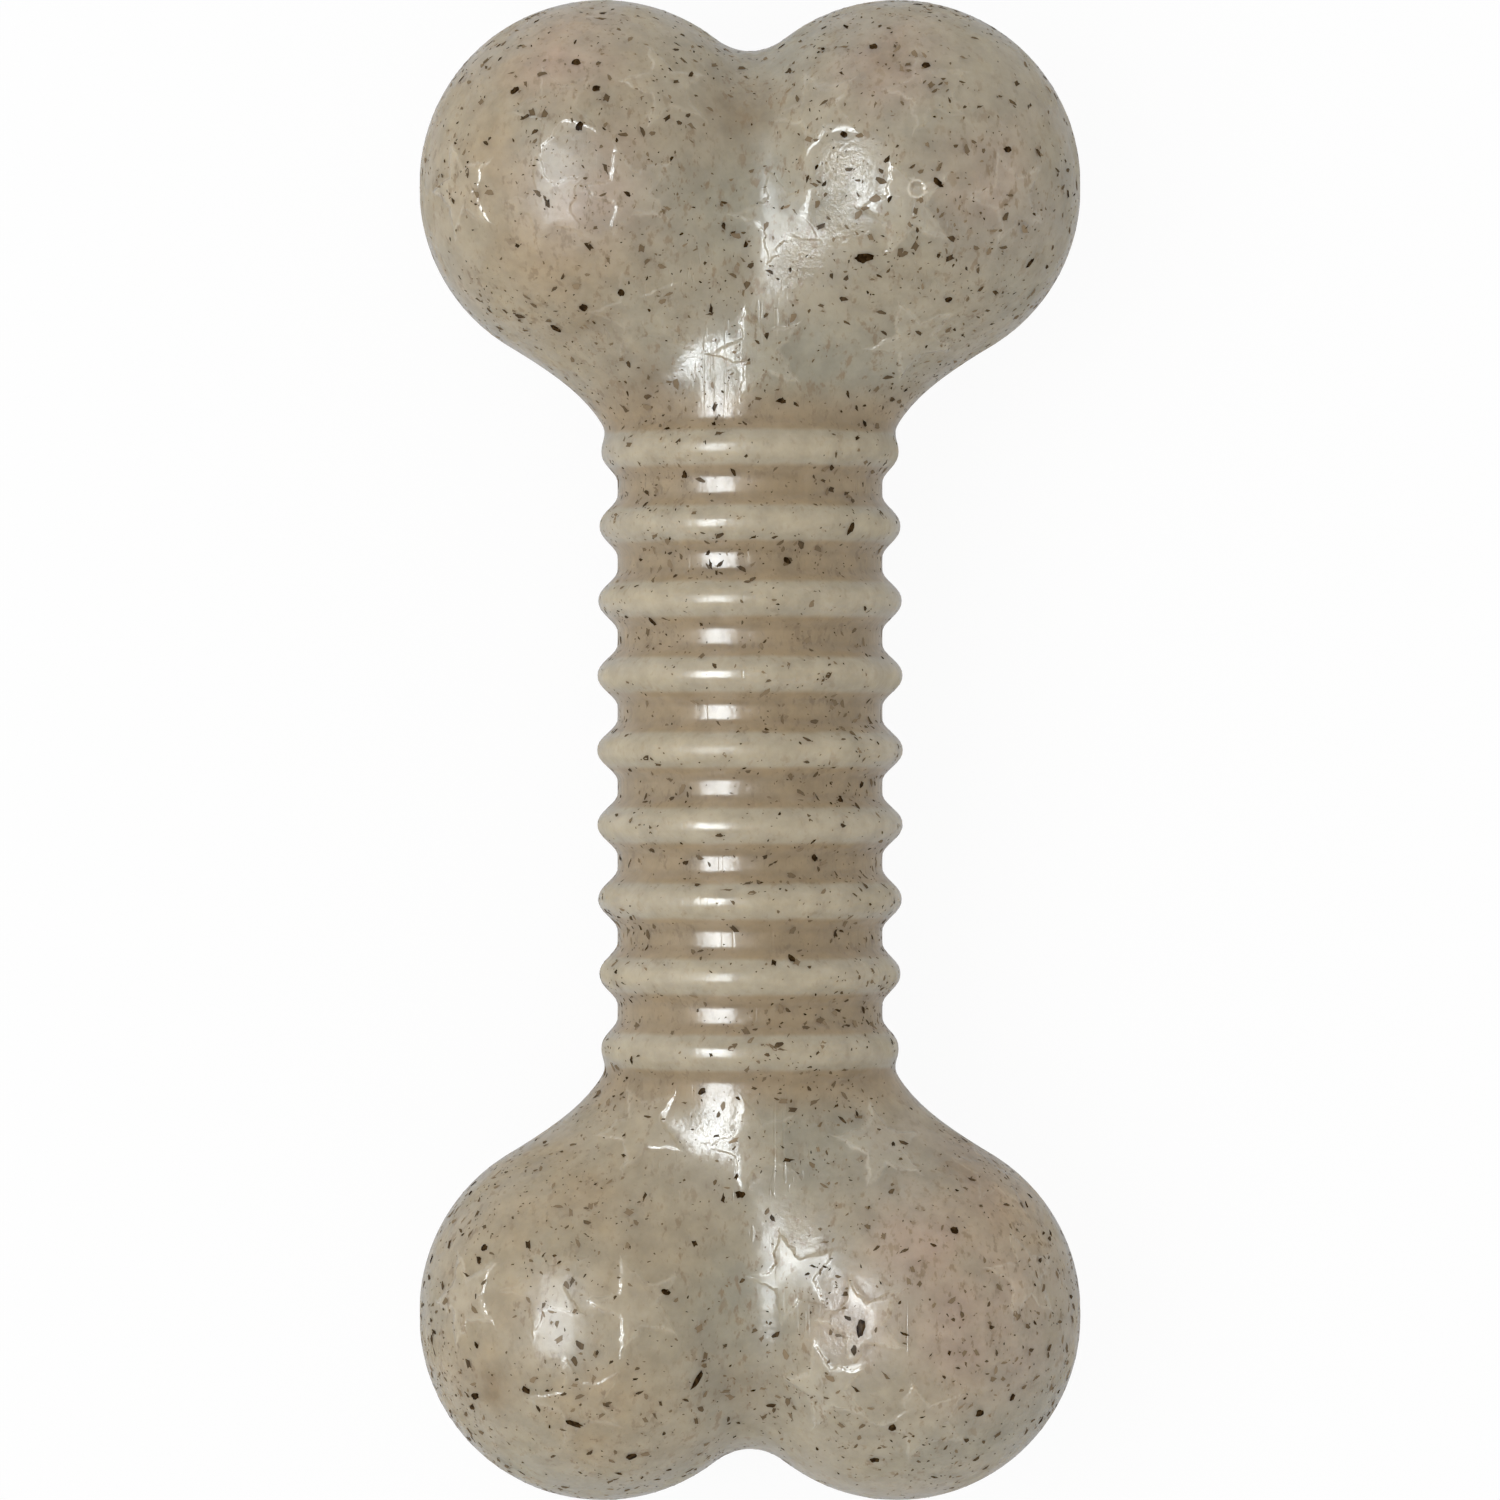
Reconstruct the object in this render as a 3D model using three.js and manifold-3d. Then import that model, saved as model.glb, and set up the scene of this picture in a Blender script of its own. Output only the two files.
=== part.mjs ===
// A bone-shaped chew toy for dogs: one solid nylon moulding, with chips of bark set in its skin.
// Millimetres. X runs across the two knobs of an end, Y along the bone and Z up from the floor.
// The origin lies on the floor under the middle of the shaft, where the bone rests on its four knobs.
import * as THREE from "three";
import { mergeVertices } from "three/addons/utils/BufferGeometryUtils.js";
import Module from "manifold-3d";

const wasm = await Module();
wasm.setup();

// Knobs: two round ones at each end, with a cleft between them
const overallLength = 180;
const knobRadius = 22;
const knobSpacing = 35.3; // between the centres of the two knobs of one end
const knobReach = 0.6; // how far a knob is drawn out towards the shaft
const cleftRounding = 6;
const restDepth = 0.3; // of the small flat under each knob that the bone lies on

// Shaft: a round bar whose domed ends sink into the knobs
const shaftRadius = 15.85; // in the grooves between the ribs
const shaftSetback = 22; // from the knobs' centres back to where the shaft starts to dome
const neckRounding = 13;
const ridgeReach = 10; // how much farther the shaft's upper and lower sides run in between the knobs
const ridgeRounding = 7; // of the neck on those two sides

// Ribs: rounded rings along the shaft, a little lower towards its ends
const ribCount = 9;
const ribPitch = 8.96;
const ribWidth = 7.44;
const ribHeight = 2.5;
const ribCrown = 0.5; // how much lower the outermost ribs are than the middle one
const ribFullness = 1.15; // above 1 the rib's crest is broad and its foot is short

// Bark chips: each lies flush with the skin in a pocket of its own
const chipDepth = 1;
const chipClearance = 0.2;
const chipOutline = [[-0.5, 0.1], [-0.3, 0.46], [0.2, 0.5], [0.5, 0.12], [0.34, -0.42], [-0.24, -0.5]];

// Fineness of the skin
const segments = 42; // round the bone, a multiple of 6
const ribSteps = 6;
const neckSteps = 9;
const cleftSteps = 4; // from a cleft out to the knobs' far ends
const capSteps = 6; // from the knobs' far ends back to their middles
const stationGap = 0.05; // stations closer than this are one
const weld = 1e-4;

// Places worked out from the sizes
const knobX = knobSpacing / 2;
const knobY = overallLength / 2 - knobRadius;
const shaftEndY = knobY - shaftSetback;
const restHeight = knobRadius - restDepth;
const farOutside = overallLength;
const knobs = {
  farLeft: new THREE.Vector3(-knobX, knobY, 0),
  farRight: new THREE.Vector3(knobX, knobY, 0),
  nearLeft: new THREE.Vector3(-knobX, -knobY, 0),
  nearRight: new THREE.Vector3(knobX, -knobY, 0),
};

// Chips on the knobs: across and along are offsets from the knob's centre as shares of its radius,
// length and width are the chip's own, and turn is its angle in degrees from the X direction
const knobChips = [
  { knob: "farLeft", across: -0.13, along: 0.6, length: 1.5, width: 1.1, turn: -30 },
  { knob: "farLeft", across: -0.11, along: 0.24, length: 1.4, width: 1, turn: 70 },
  { knob: "farLeft", across: -0.02, along: 0.45, length: 1.3, width: 1, turn: 20 },
  { knob: "farLeft", across: -0.46, along: 0.45, length: 1.5, width: 1, turn: 50 },
  { knob: "farLeft", across: -0.09, along: -0.7, length: 1.4, width: 1.1, turn: 40 },
  { knob: "farLeft", across: -0.24, along: -0.8, length: 1.8, width: 0.9, turn: -50 },
  { knob: "farLeft", across: 0.11, along: -0.62, length: 1.2, width: 1, turn: 80 },
  { knob: "farRight", across: -0.14, along: 0.69, length: 1.3, width: 1.1, turn: 10 },
  { knob: "farRight", across: -0.3, along: 0.2, length: 1.3, width: 0.9, turn: -15 },
  { knob: "farRight", across: -0.19, along: -0.45, length: 3, width: 1.2, turn: 4 },
  { knob: "farRight", across: 0.2, along: -0.06, length: 1.9, width: 0.9, turn: -40 },
  { knob: "farRight", across: 0.58, along: 0.13, length: 1.4, width: 0.9, turn: 8 },
  { knob: "farRight", across: 0.26, along: -0.66, length: 1.2, width: 0.9, turn: 15 },
  { knob: "farRight", across: 0.14, along: 0.58, length: 1.4, width: 1.1, turn: 45 },
  { knob: "farRight", across: 0.7, along: -0.46, length: 1.8, width: 0.8, turn: 58 },
  { knob: "nearLeft", across: 0.52, along: -0.29, length: 3.1, width: 1, turn: 65 },
  { knob: "nearLeft", across: -0.14, along: -0.52, length: 2.5, width: 0.9, turn: -22 },
  { knob: "nearLeft", across: 0.16, along: -0.71, length: 1.8, width: 1.2, turn: 20 },
  { knob: "nearLeft", across: -0.4, along: -0.34, length: 1.5, width: 1, turn: -35 },
  { knob: "nearLeft", across: -0.68, along: -0.39, length: 1.9, width: 1, turn: 12 },
  { knob: "nearLeft", across: 0.35, along: 0.19, length: 1.4, width: 0.9, turn: -10 },
  { knob: "nearLeft", across: -0.62, along: 0.41, length: 1.2, width: 0.9, turn: -30 },
  { knob: "nearRight", across: -0.21, along: 0, length: 2.6, width: 1.2, turn: 84 },
  { knob: "nearRight", across: -0.04, along: -0.54, length: 1.5, width: 1.1, turn: 50 },
  { knob: "nearRight", across: -0.13, along: -0.73, length: 1.6, width: 1, turn: 15 },
  { knob: "nearRight", across: 0.61, along: -0.39, length: 1.2, width: 0.9, turn: 80 },
  { knob: "nearRight", across: 0.43, along: -0.47, length: 1.3, width: 1.1, turn: -20 },
  { knob: "nearRight", across: 0.29, along: 0.51, length: 1.4, width: 1.1, turn: -25 },
];

// Chips on the shaft and necks: along is the place on the length, and angle goes round from +X to +Z
const shaftChips = [
  { along: 26.3, angle: 48, length: 1.9, width: 0.9, turn: 80 },
  { along: 32.6, angle: 119, length: 1.2, width: 0.8, turn: 60 },
  { along: 22.4, angle: 74, length: 1.3, width: 0.8, turn: -40 },
  { along: 15.2, angle: 135, length: 1.4, width: 0.8, turn: -60 },
  { along: -5.8, angle: 48, length: 1.2, width: 0.9, turn: 50 },
  { along: -12.8, angle: 61, length: 1.3, width: 0.8, turn: -45 },
  { along: -24.6, angle: 73, length: 1.3, width: 0.8, turn: -55 },
  { along: -40.4, angle: 111, length: 1.4, width: 0.8, turn: 30 },
  { along: -52.6, angle: 94, length: 1.6, width: 1, turn: -15 },
];

// The side away from the floor is chosen by hand above; the underside gets evenly spread chips
const underKnobChips = 2; // for each knob
const underShaftChips = 6;
const underShaftPitch = 12.5;
const underShaftSway = 32; // degrees to either side of straight down
const underKnobOffset = 0.58;
const underChipLength = 1.5;
const underChipWidth = 0.9;
const goldenTurn = 137.5;

// Joins two distances with a rounded corner of the given radius
function roundJoin(a, b, radius) {
  const inA = Math.max(radius - a, 0);
  const inB = Math.max(radius - b, 0);
  return Math.max(radius, Math.min(a, b)) - Math.hypot(inA, inB);
}

// Distance to the bone without its ribs, below zero inside
function plainDistance(point) {
  const along = Math.abs(point.y);
  const across = Math.abs(point.x);
  const innerY = knobY - knobReach;
  const past = along > knobY ? along - knobY : Math.min(along - innerY, 0);
  const nearKnob = Math.hypot(across - knobX, past, point.z) - knobRadius;
  const otherKnob = Math.hypot(across + knobX, past, point.z) - knobRadius;
  const pair = roundJoin(nearKnob, otherKnob, cleftRounding);
  const lean = point.z ** 2 / Math.max(point.z ** 2 + across ** 2, weld);
  const beyond = Math.max(along - shaftEndY - ridgeReach * lean, 0);
  const shaft = Math.hypot(across, beyond, point.z) - shaftRadius;
  return roundJoin(pair, shaft, THREE.MathUtils.lerp(neckRounding, ridgeRounding, lean));
}

// Where a ray from inside the bone leaves it
function plainReach(origin, direction) {
  const point = new THREE.Vector3();
  let inside = 0;
  let outside = farOutside;
  while (outside - inside > weld / 10) {
    const middle = (inside + outside) / 2;
    point.copy(direction).multiplyScalar(middle).add(origin);
    if (plainDistance(point) < 0) inside = middle;
    else outside = middle;
  }
  return inside;
}

// Outward normal of the bone without its ribs
function plainNormal(point) {
  const step = 0.01;
  const slope = (axis) => {
    const ahead = point.clone().addScaledVector(axis, step);
    const behind = point.clone().addScaledVector(axis, -step);
    return plainDistance(ahead) - plainDistance(behind);
  };
  const x = new THREE.Vector3(1, 0, 0);
  const y = new THREE.Vector3(0, 1, 0);
  const z = new THREE.Vector3(0, 0, 1);
  return new THREE.Vector3(slope(x), slope(y), slope(z)).normalize();
}

function ribCentre(index) {
  return (index - (ribCount - 1) / 2) * ribPitch;
}

// How far the ribs lift the skin at a station where the bone is so thick without them
function ribLift(along, radius) {
  const outermost = Math.max(ribCentre(ribCount - 1), ribPitch);
  let lift = 0;
  for (let index = 0; index < ribCount; index += 1) {
    const centre = ribCentre(index);
    const off = Math.abs(along - centre) / (ribWidth / 2);
    if (off >= 1) continue;
    const crest = shaftRadius + ribHeight - ribCrown * (centre / outermost) ** 2;
    const share = (1 + Math.cos(Math.PI * off ** ribFullness)) / 2;
    lift = Math.max(lift, (crest - radius) * share);
  }
  return lift;
}

// A point of the skin on a ray square to the axis
function skinAround(along, angle) {
  const origin = new THREE.Vector3(0, along, 0);
  const direction = new THREE.Vector3(Math.cos(angle), 0, Math.sin(angle));
  const radius = plainReach(origin, direction);
  return direction.multiplyScalar(radius + ribLift(along, radius)).add(origin);
}

// A point of the skin at one end of the bone, on a ray from between the knobs' centres
function skinAtEnd(end, tilt, angle) {
  const origin = new THREE.Vector3(0, end * knobY, 0);
  const direction = new THREE.Vector3(Math.cos(angle), 0, Math.sin(angle)).multiplyScalar(Math.sin(tilt));
  direction.y = end * Math.cos(tilt);
  return direction.multiplyScalar(plainReach(origin, direction)).add(origin);
}

// Stations of the rings along the bone, from one pair of knob centres to the other
function ringStations() {
  const stations = [-knobY, knobY];
  for (let index = 0; index < ribCount; index += 1) {
    for (let step = 0; step <= ribSteps; step += 1) {
      stations.push(ribCentre(index) + (step / ribSteps - 0.5) * ribWidth);
    }
  }
  const ribsEnd = ribCentre(ribCount - 1) + ribWidth / 2;
  for (let step = 1; step < neckSteps; step += 1) {
    const along = THREE.MathUtils.lerp(ribsEnd, knobY, step / neckSteps);
    stations.push(along, -along);
  }
  const inOrder = stations.filter((along) => Math.abs(along) <= knobY).sort((a, b) => a - b);
  return inOrder.filter((along, index) => index === 0 || along - inOrder[index - 1] > stationGap);
}

// Tilts of the rings over one end, from the cleft to the knobs' middles, with one at their far ends
function capTilts() {
  const endTilt = Math.atan2(knobX, knobRadius);
  const tilts = [];
  for (let step = 1; step < cleftSteps; step += 1) {
    tilts.push((endTilt * step) / cleftSteps);
  }
  for (let step = 0; step < capSteps; step += 1) {
    tilts.push(THREE.MathUtils.lerp(endTilt, Math.PI / 2, step / capSteps));
  }
  return tilts;
}

// The ring points crowd towards the sides, so that a line of them runs along the knobs' lowest points
function ringAngles() {
  const crowding = (Math.tan(Math.PI / 3) * knobX) / knobRadius;
  return Array.from({ length: segments }, (_, index) => {
    const turn = (2 * Math.PI * index) / segments;
    return Math.atan2(Math.sin(turn), crowding * Math.cos(turn));
  });
}

// The bone's closed skin: rings of points from the cleft of one end to the cleft of the other
function boneSkin() {
  const angles = ringAngles();
  const nearCap = capTilts().map((tilt) => angles.map((angle) => skinAtEnd(-1, tilt, angle)));
  const middle = ringStations().map((along) => angles.map((angle) => skinAround(along, angle)));
  const farCap = capTilts().map((tilt) => angles.map((angle) => skinAtEnd(1, tilt, angle)));
  const rings = [...nearCap, ...middle, ...farCap.reverse()];
  const points = [skinAtEnd(-1, 0, 0), ...rings.flat(), skinAtEnd(1, 0, 0)];
  const last = points.length - 1;
  const at = (ring, index) => 1 + ring * segments + (index % segments);
  const faces = [];
  for (let index = 0; index < segments; index += 1) {
    faces.push(0, at(0, index), at(0, index + 1));
    for (let ring = 0; ring < rings.length - 1; ring += 1) {
      faces.push(at(ring, index), at(ring + 1, index), at(ring, index + 1));
      faces.push(at(ring, index + 1), at(ring + 1, index), at(ring + 1, index + 1));
    }
    faces.push(last, at(rings.length - 1, index + 1), at(rings.length - 1, index));
  }
  return new THREE.BufferGeometry().setFromPoints(points).setIndex(faces);
}

// A closed geometry as a solid that can be joined and cut
function solidOf(geometry) {
  const bare = geometry.clone();
  bare.deleteAttribute("normal");
  bare.deleteAttribute("uv");
  const merged = mergeVertices(bare, weld);
  const vertProperties = new Float32Array(merged.attributes.position.array);
  const triVerts = new Uint32Array(merged.index.array);
  return new wasm.Manifold(new wasm.Mesh({ numProp: 3, vertProperties, triVerts }));
}

// A solid as a geometry with flat faces
function geometryOf(solid) {
  const mesh = solid.getMesh();
  const geometry = new THREE.BufferGeometry();
  geometry.setAttribute("position", new THREE.BufferAttribute(new Float32Array(mesh.vertProperties), 3));
  geometry.setIndex(new THREE.BufferAttribute(new Uint32Array(mesh.triVerts), 1));
  return geometry;
}

// A chip's prism, grown by a clearance, standing through the skin at its spot
function chipPrism(chip, clearance) {
  const lengthwise = chip.length + 2 * clearance;
  const crosswise = chip.width + 2 * clearance;
  const outline = chipOutline.map(([u, v]) => new THREE.Vector2(u * lengthwise, v * crosswise));
  const below = chipDepth + clearance;
  const above = ribHeight + chip.length;
  const through = { depth: below + above, bevelEnabled: false };
  const prism = new THREE.ExtrudeGeometry(new THREE.Shape(outline), through);
  prism.translate(0, 0, -below);
  prism.rotateZ(THREE.MathUtils.degToRad(chip.turn));
  const normal = plainNormal(chip.spot);
  const lengthAxis = new THREE.Vector3(0, 1, 0);
  const sideways = new THREE.Vector3().crossVectors(lengthAxis, normal).normalize();
  const forward = new THREE.Vector3().crossVectors(normal, sideways);
  const stance = new THREE.Matrix4().makeBasis(sideways, forward, normal).setPosition(chip.spot);
  return solidOf(prism.applyMatrix4(stance));
}

// A spot on a knob, seen from above (face 1) or from below (face -1)
function knobSpot(centre, across, along, face) {
  const direction = new THREE.Vector3(across, along, face * Math.sqrt(1 - across ** 2 - along ** 2));
  return direction.multiplyScalar(plainReach(centre, direction)).add(centre);
}

// Every chip with its spot on the skin: those seen from above first, then those underneath
function placedChips() {
  const chips = knobChips.map((chip) => {
    return { ...chip, spot: knobSpot(knobs[chip.knob], chip.across, chip.along, 1) };
  });
  for (const chip of shaftChips) {
    chips.push({ ...chip, spot: skinAround(chip.along, THREE.MathUtils.degToRad(chip.angle)) });
  }
  const under = { length: underChipLength, width: underChipWidth };
  Object.values(knobs).forEach((centre, corner) => {
    for (let index = 0; index < underKnobChips; index += 1) {
      const turn = (corner * underKnobChips + index) * goldenTurn;
      const bearing = THREE.MathUtils.degToRad(corner * 45 + (index * 360) / underKnobChips);
      const across = underKnobOffset * Math.cos(bearing);
      const along = underKnobOffset * Math.sin(bearing);
      chips.push({ ...under, turn, spot: knobSpot(centre, across, along, -1) });
    }
  });
  for (let index = 0; index < underShaftChips; index += 1) {
    const turn = index * goldenTurn;
    const along = (index - (underShaftChips - 1) / 2) * underShaftPitch;
    const sway = underShaftSway * Math.sin(THREE.MathUtils.degToRad(turn));
    chips.push({ ...under, turn, spot: skinAround(along, THREE.MathUtils.degToRad(sway - 90)) });
  }
  return chips;
}

// The floor, as a block that cuts the flats under the knobs
function floorBlock() {
  const block = new THREE.BoxGeometry(farOutside, 2 * farOutside, knobRadius);
  block.translate(0, 0, -restHeight - knobRadius / 2);
  return solidOf(block);
}

const bone = new THREE.Group();
bone.position.z = restHeight;

const blank = solidOf(boneSkin()).subtract(floorBlock());
const chips = placedChips();
let body = blank;
for (const chip of chips) {
  body = body.subtract(chipPrism(chip, chipClearance));
}
const nylon = new THREE.MeshStandardMaterial({ color: 0xa89a84, roughness: 0.25, metalness: 0 });
const nylonBone = new THREE.Mesh(geometryOf(body), nylon);
nylonBone.name = "nylon_bone";
bone.add(nylonBone);

chips.forEach((chip, index) => {
  const bark = new THREE.MeshStandardMaterial({ color: 0x3b2a1d, roughness: 0.5, metalness: 0 });
  const piece = new THREE.Mesh(geometryOf(blank.intersect(chipPrism(chip, 0))), bark);
  piece.name = `bark_chip_${String(index + 1).padStart(2, "0")}`;
  bone.add(piece);
});

export default bone;
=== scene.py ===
"""A bone-shaped dog chew: one glossy nylon moulding with ribs and raised stars, flecked with bark.

Metres. X runs across the two knobs of an end, Y along the bone and Z up from the floor that it lies on.
"""
import math
from typing import NamedTuple

import bmesh
import bpy
import numpy as np
from bpy.props import FloatProperty, FloatVectorProperty, IntProperty, PointerProperty
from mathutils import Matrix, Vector, geometry


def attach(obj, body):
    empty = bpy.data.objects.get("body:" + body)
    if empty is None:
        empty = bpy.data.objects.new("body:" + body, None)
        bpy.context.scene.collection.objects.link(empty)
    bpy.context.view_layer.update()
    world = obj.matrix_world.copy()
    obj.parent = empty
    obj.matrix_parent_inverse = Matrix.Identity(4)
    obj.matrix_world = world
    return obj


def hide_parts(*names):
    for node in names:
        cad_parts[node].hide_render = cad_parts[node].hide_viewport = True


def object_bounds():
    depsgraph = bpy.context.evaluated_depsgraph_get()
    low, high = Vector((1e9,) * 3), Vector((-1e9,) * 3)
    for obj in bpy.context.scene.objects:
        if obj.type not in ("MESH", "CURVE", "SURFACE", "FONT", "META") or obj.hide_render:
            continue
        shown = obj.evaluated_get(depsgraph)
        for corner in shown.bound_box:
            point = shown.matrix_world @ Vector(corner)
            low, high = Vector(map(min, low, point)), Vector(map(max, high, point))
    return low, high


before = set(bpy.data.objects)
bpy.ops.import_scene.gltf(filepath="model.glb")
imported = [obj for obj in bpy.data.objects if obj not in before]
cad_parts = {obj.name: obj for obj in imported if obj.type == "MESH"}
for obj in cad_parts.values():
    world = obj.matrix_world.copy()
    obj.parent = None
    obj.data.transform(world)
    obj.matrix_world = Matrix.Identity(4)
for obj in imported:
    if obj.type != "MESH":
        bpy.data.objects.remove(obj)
CAD_LOW, CAD_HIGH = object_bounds()

bl_info = {
    "name": "Moulded Dog Bone",
    "version": (1, 0, 0),
    "blender": (4, 5, 0),
    "location": "3D View > Sidebar > Dog Bone",
    "description": "Builds a ribbed nylon chew bone with bark in its skin, and a studio round it",
    "category": "Object",
}

MM = 0.001
BODY = "root"
MOULDING_NODE = "nylon_bone"
CHIP_NODES = sorted(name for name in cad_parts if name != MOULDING_NODE)
REST_DEPTH = 0.3 * MM  # of the small flat under each knob
KNOB_RADIUS = (CAD_HIGH.z - CAD_LOW.z + REST_DEPTH) / 2
NEARER = 0.98 * MM  # a millimetre seen on the knobs' tops, which are nearer to the lens than the outline

# How finely the moulding is meshed, and how its skin is found
RING_SEGMENTS = 144
CAP_STEPS = 44
RIB_STEPS = 18
NECK_STEPS = 26
BESIDE_LINE = 0.012  # angle from the parting line to the points beside it, in radians
ON_LINE = 0.001 * MM  # points this near to the parting plane are on the line
STAR_SPLITS = (1.0 * MM, 0.5 * MM)  # faces this near to a star's edge are split, once for each value
GATE_SPLITS = (1.2 * MM, 1.0 * MM, 0.8 * MM)  # and so are those near the gate mark's ring
REACH_STEPS = 36
SETTLE_STEPS = 5
SLOPE_STEP = 0.01 * MM

# Where the raised stars stand on the upper side, as X and Y in millimetres from the middle of the bone
STAR_SPOTS = (
    (-24.2, 65.4), (-14.4, 67.0), (-23.4, 77.4), (-35.2, 67.6), (-10.0, 80.0), (-13.6, 52.6),
    (1.0, 48.0), (3.6, 64.4), (18.6, 65.0), (31.6, 66.6), (21.6, 79.4), (20.0, 49.6), (8.2, 77.2),
    (-24.8, -64.6), (-13.6, -66.6), (-20.6, -78.4), (-34.6, -66.2), (-13.2, -45.6),
    (0.6, -47.6), (16.0, -47.8), (5.2, -63.6), (13.4, -68.6), (33.4, -63.4), (29.6, -51.6),
    (9.0, -76.6), (21.0, -81.0),
)
STAR_POINTS = 5
STAR_REACH = 1.5  # how far from its centre a star's outline is measured, in its radii
GOLDEN_SHARE = 0.618034  # its multiples spread the stars' wear evenly
GATE_SPOT = (20.0, 67.3)  # of the gate mark on the upper side, in millimetres like the stars

# Patches of the skin by kind: X, Y and radius in millimetres, and strength, the same above and below
PATCHES = {
    "crumbled": (
        (10.9, 69.8, 2.6, 1.0), (10.7, 66.0, 2.6, 1.0), (11.2, 62.4, 1.8, 0.7), (6.2, 59.6, 2.4, 0.8),
        (-3.0, 45.5, 4.5, 0.25), (11.8, -69.5, 3.0, 0.4), (5.0, -58.8, 3.0, 0.15), (-3.0, -45.5, 4.5, 0.2),
    ),
    "dull": (
        (-20.5, 68.0, 14.0, 0.96), (3.0, 65.0, 6.5, 1.0), (15.5, 59.0, 6.0, 0.95), (4.0, 58.5, 4.5, 0.92),
        (1.2, 63.5, 5.0, 1.0), (0.8, 57.5, 3.5, 1.0), (7.5, 64.5, 4.0, 1.0), (16.0, 71.0, 4.0, 0.95),
        (6.2, 72.5, 3.6, 0.95), (11.0, 76.5, 3.6, 0.9), (-20.5, -68.0, 13.0, 0.96), (5.5, -66.5, 6.5, 1.0),
        (14.5, -60.0, 6.0, 0.95), (4.8, -58.5, 4.5, 0.9), (7.5, -63.5, 4.5, 0.9), (1.2, -62.5, 5.0, 1.0),
        (1.0, -56.5, 3.5, 0.95), (16.0, -71.0, 4.0, 0.9), (7.0, -73.5, 4.0, 0.9), (11.6, -69.5, 4.5, 0.95),
    ),
    "warm": (
        (-29.0, 74.0, 15.0, 0.45), (-27.0, 58.0, 13.0, 0.4), (-22.0, -56.0, 13.0, 0.5),
        (-30.0, -68.0, 11.0, 0.45), (-18.0, -80.0, 8.0, 0.55), (31.0, -56.0, 7.0, 0.5),
    ),
    "pink": (
        (16.0, 83.0, 6.0, 0.6), (-23.0, 84.0, 7.0, 0.5), (-19.0, 68.0, 8.0, 0.5), (22.0, -58.0, 11.0, 0.5),
        (28.0, -69.0, 10.0, 0.55), (14.0, -68.0, 6.0, 0.5), (29.0, 68.0, 8.0, 0.4),
    ),
    "stained": (
        (-13.0, 42.0, 5.0, 0.6), (-19.0, 52.0, 3.0, 0.3), (16.0, 83.0, 3.0, 0.3), (-1.0, 78.0, 4.5, 0.35),
        (12.0, -67.5, 1.8, 0.5), (-31.0, -77.0, 3.0, 0.4), (27.0, -50.0, 4.0, 0.3), (0.0, -77.0, 4.0, 0.2),
    ),
}

# Bark chips: their outlines, and shares of an outline for the top and the foot
CHIP_SEED = 5
CHIP_STEPS = 13
CHIP_RAGGED = (0.7, 1.0)  # how far an outline reaches, as a share of the solid chip
CHIP_PROUD = 0.03 * MM
CHIP_DEPTH = 0.6 * MM
CHIP_CROWN = 0.6
CHIP_RIM = 0.3  # height of the outline as a share of the top's
CHIP_FOOT = 0.85
FACING = 1e-9  # a ray that faces a side of the solid chip less than this doesn't meet it

# Wood flecks
FLECK_KINDS = 8
FLECK_CORNERS = 8
FLECK_STRAY = 0.27  # of a corner, as a share of the fleck's size
FLECK_SLIM = (0.28, 0.7)  # width as a share of the length
SHORT_POWER = 4.7  # the higher, the more of the flecks are short
FADE_POWER = 1.05  # the higher, the more of them are dark
FADE_MOST = 0.97
FLECKS_ON_CRESTS = 0.5  # how crowded they are on the ribs' crests
FLECKS_ON_SHAFT = 1.45
FLECKS_FROM = 0.5 * MM  # above the floor

# Nylon and bark: shares of the colours over the plain tint, and heights of the bumps in millimetres
# share of the painted light on the ribs' crests and of the painted shade in the grooves
RIB_LIGHT_GROOVE_SHADE = 0.88
SHAFT_ENDS = (-0.15, 0.5)  # where the shaft's tint begins and ends to fade, in pitches past the last rib
CREST_STRAY = 0.2
CREST_EDGE = (0.34, 0.6)
# stars' faces paler, partly painted light through the raised nylon and partly wear
STAR_LIGHT_AND_WEAR = 0.16
# painted highlight along the stars' edges
STAR_EDGE_HIGHLIGHT = 0.25
GATE_TINT = 0.75
SMUDGE_TINT = 0.8
SMUDGES_ON_CRESTS = 0.35
SMUDGE_STRETCH = (1.0, 0.55, 1.0)
WAVE_HEIGHT = 0.14
GRAIN_HEIGHT = 0.01
CRUMB_HEIGHT = 0.34
SCRATCH_DEPTH = 0.025
SHAFT_SCRATCHED = 0.5
DULLEST = 0.03  # weight of the gloss where the skin is most worn
GRAIN_TINT = 0.35
BARK_ROUGHNESS = (0.35, 0.5)

# What is the same all over a material
NYLON_SHADER = {
    "Coat Roughness": 0.14, "Coat IOR": 1.5, "Specular IOR Level": 0.16, "IOR": 1.53,
    "Subsurface Weight": 1.0, "Subsurface Radius": (1.0, 0.85, 0.65), "Subsurface Scale": 6 * MM,
}
BARK_SHADER = {"Specular IOR Level": 0.0, "Coat Weight": 0.1, "Coat Roughness": 0.12}
PAPER_SHADER = {"Specular IOR Level": 0.0, "Roughness": 0.9}

# Studio, in metres
FLOOR_HALF = 3.0
KEY_DISTANCE = 2.0
KEY_SIZE = (1.1, 1.76)
SHEEN_SIZE = (0.8, 1.5)
GLINT_DISTANCE = 1.5
GLINT_SIZE = (0.08, 0.08)
SENSOR_WIDTH = 36.0  # in millimetres, like the lens
CLIP_START = 0.01
FRAMING_STEPS = 8
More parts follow.
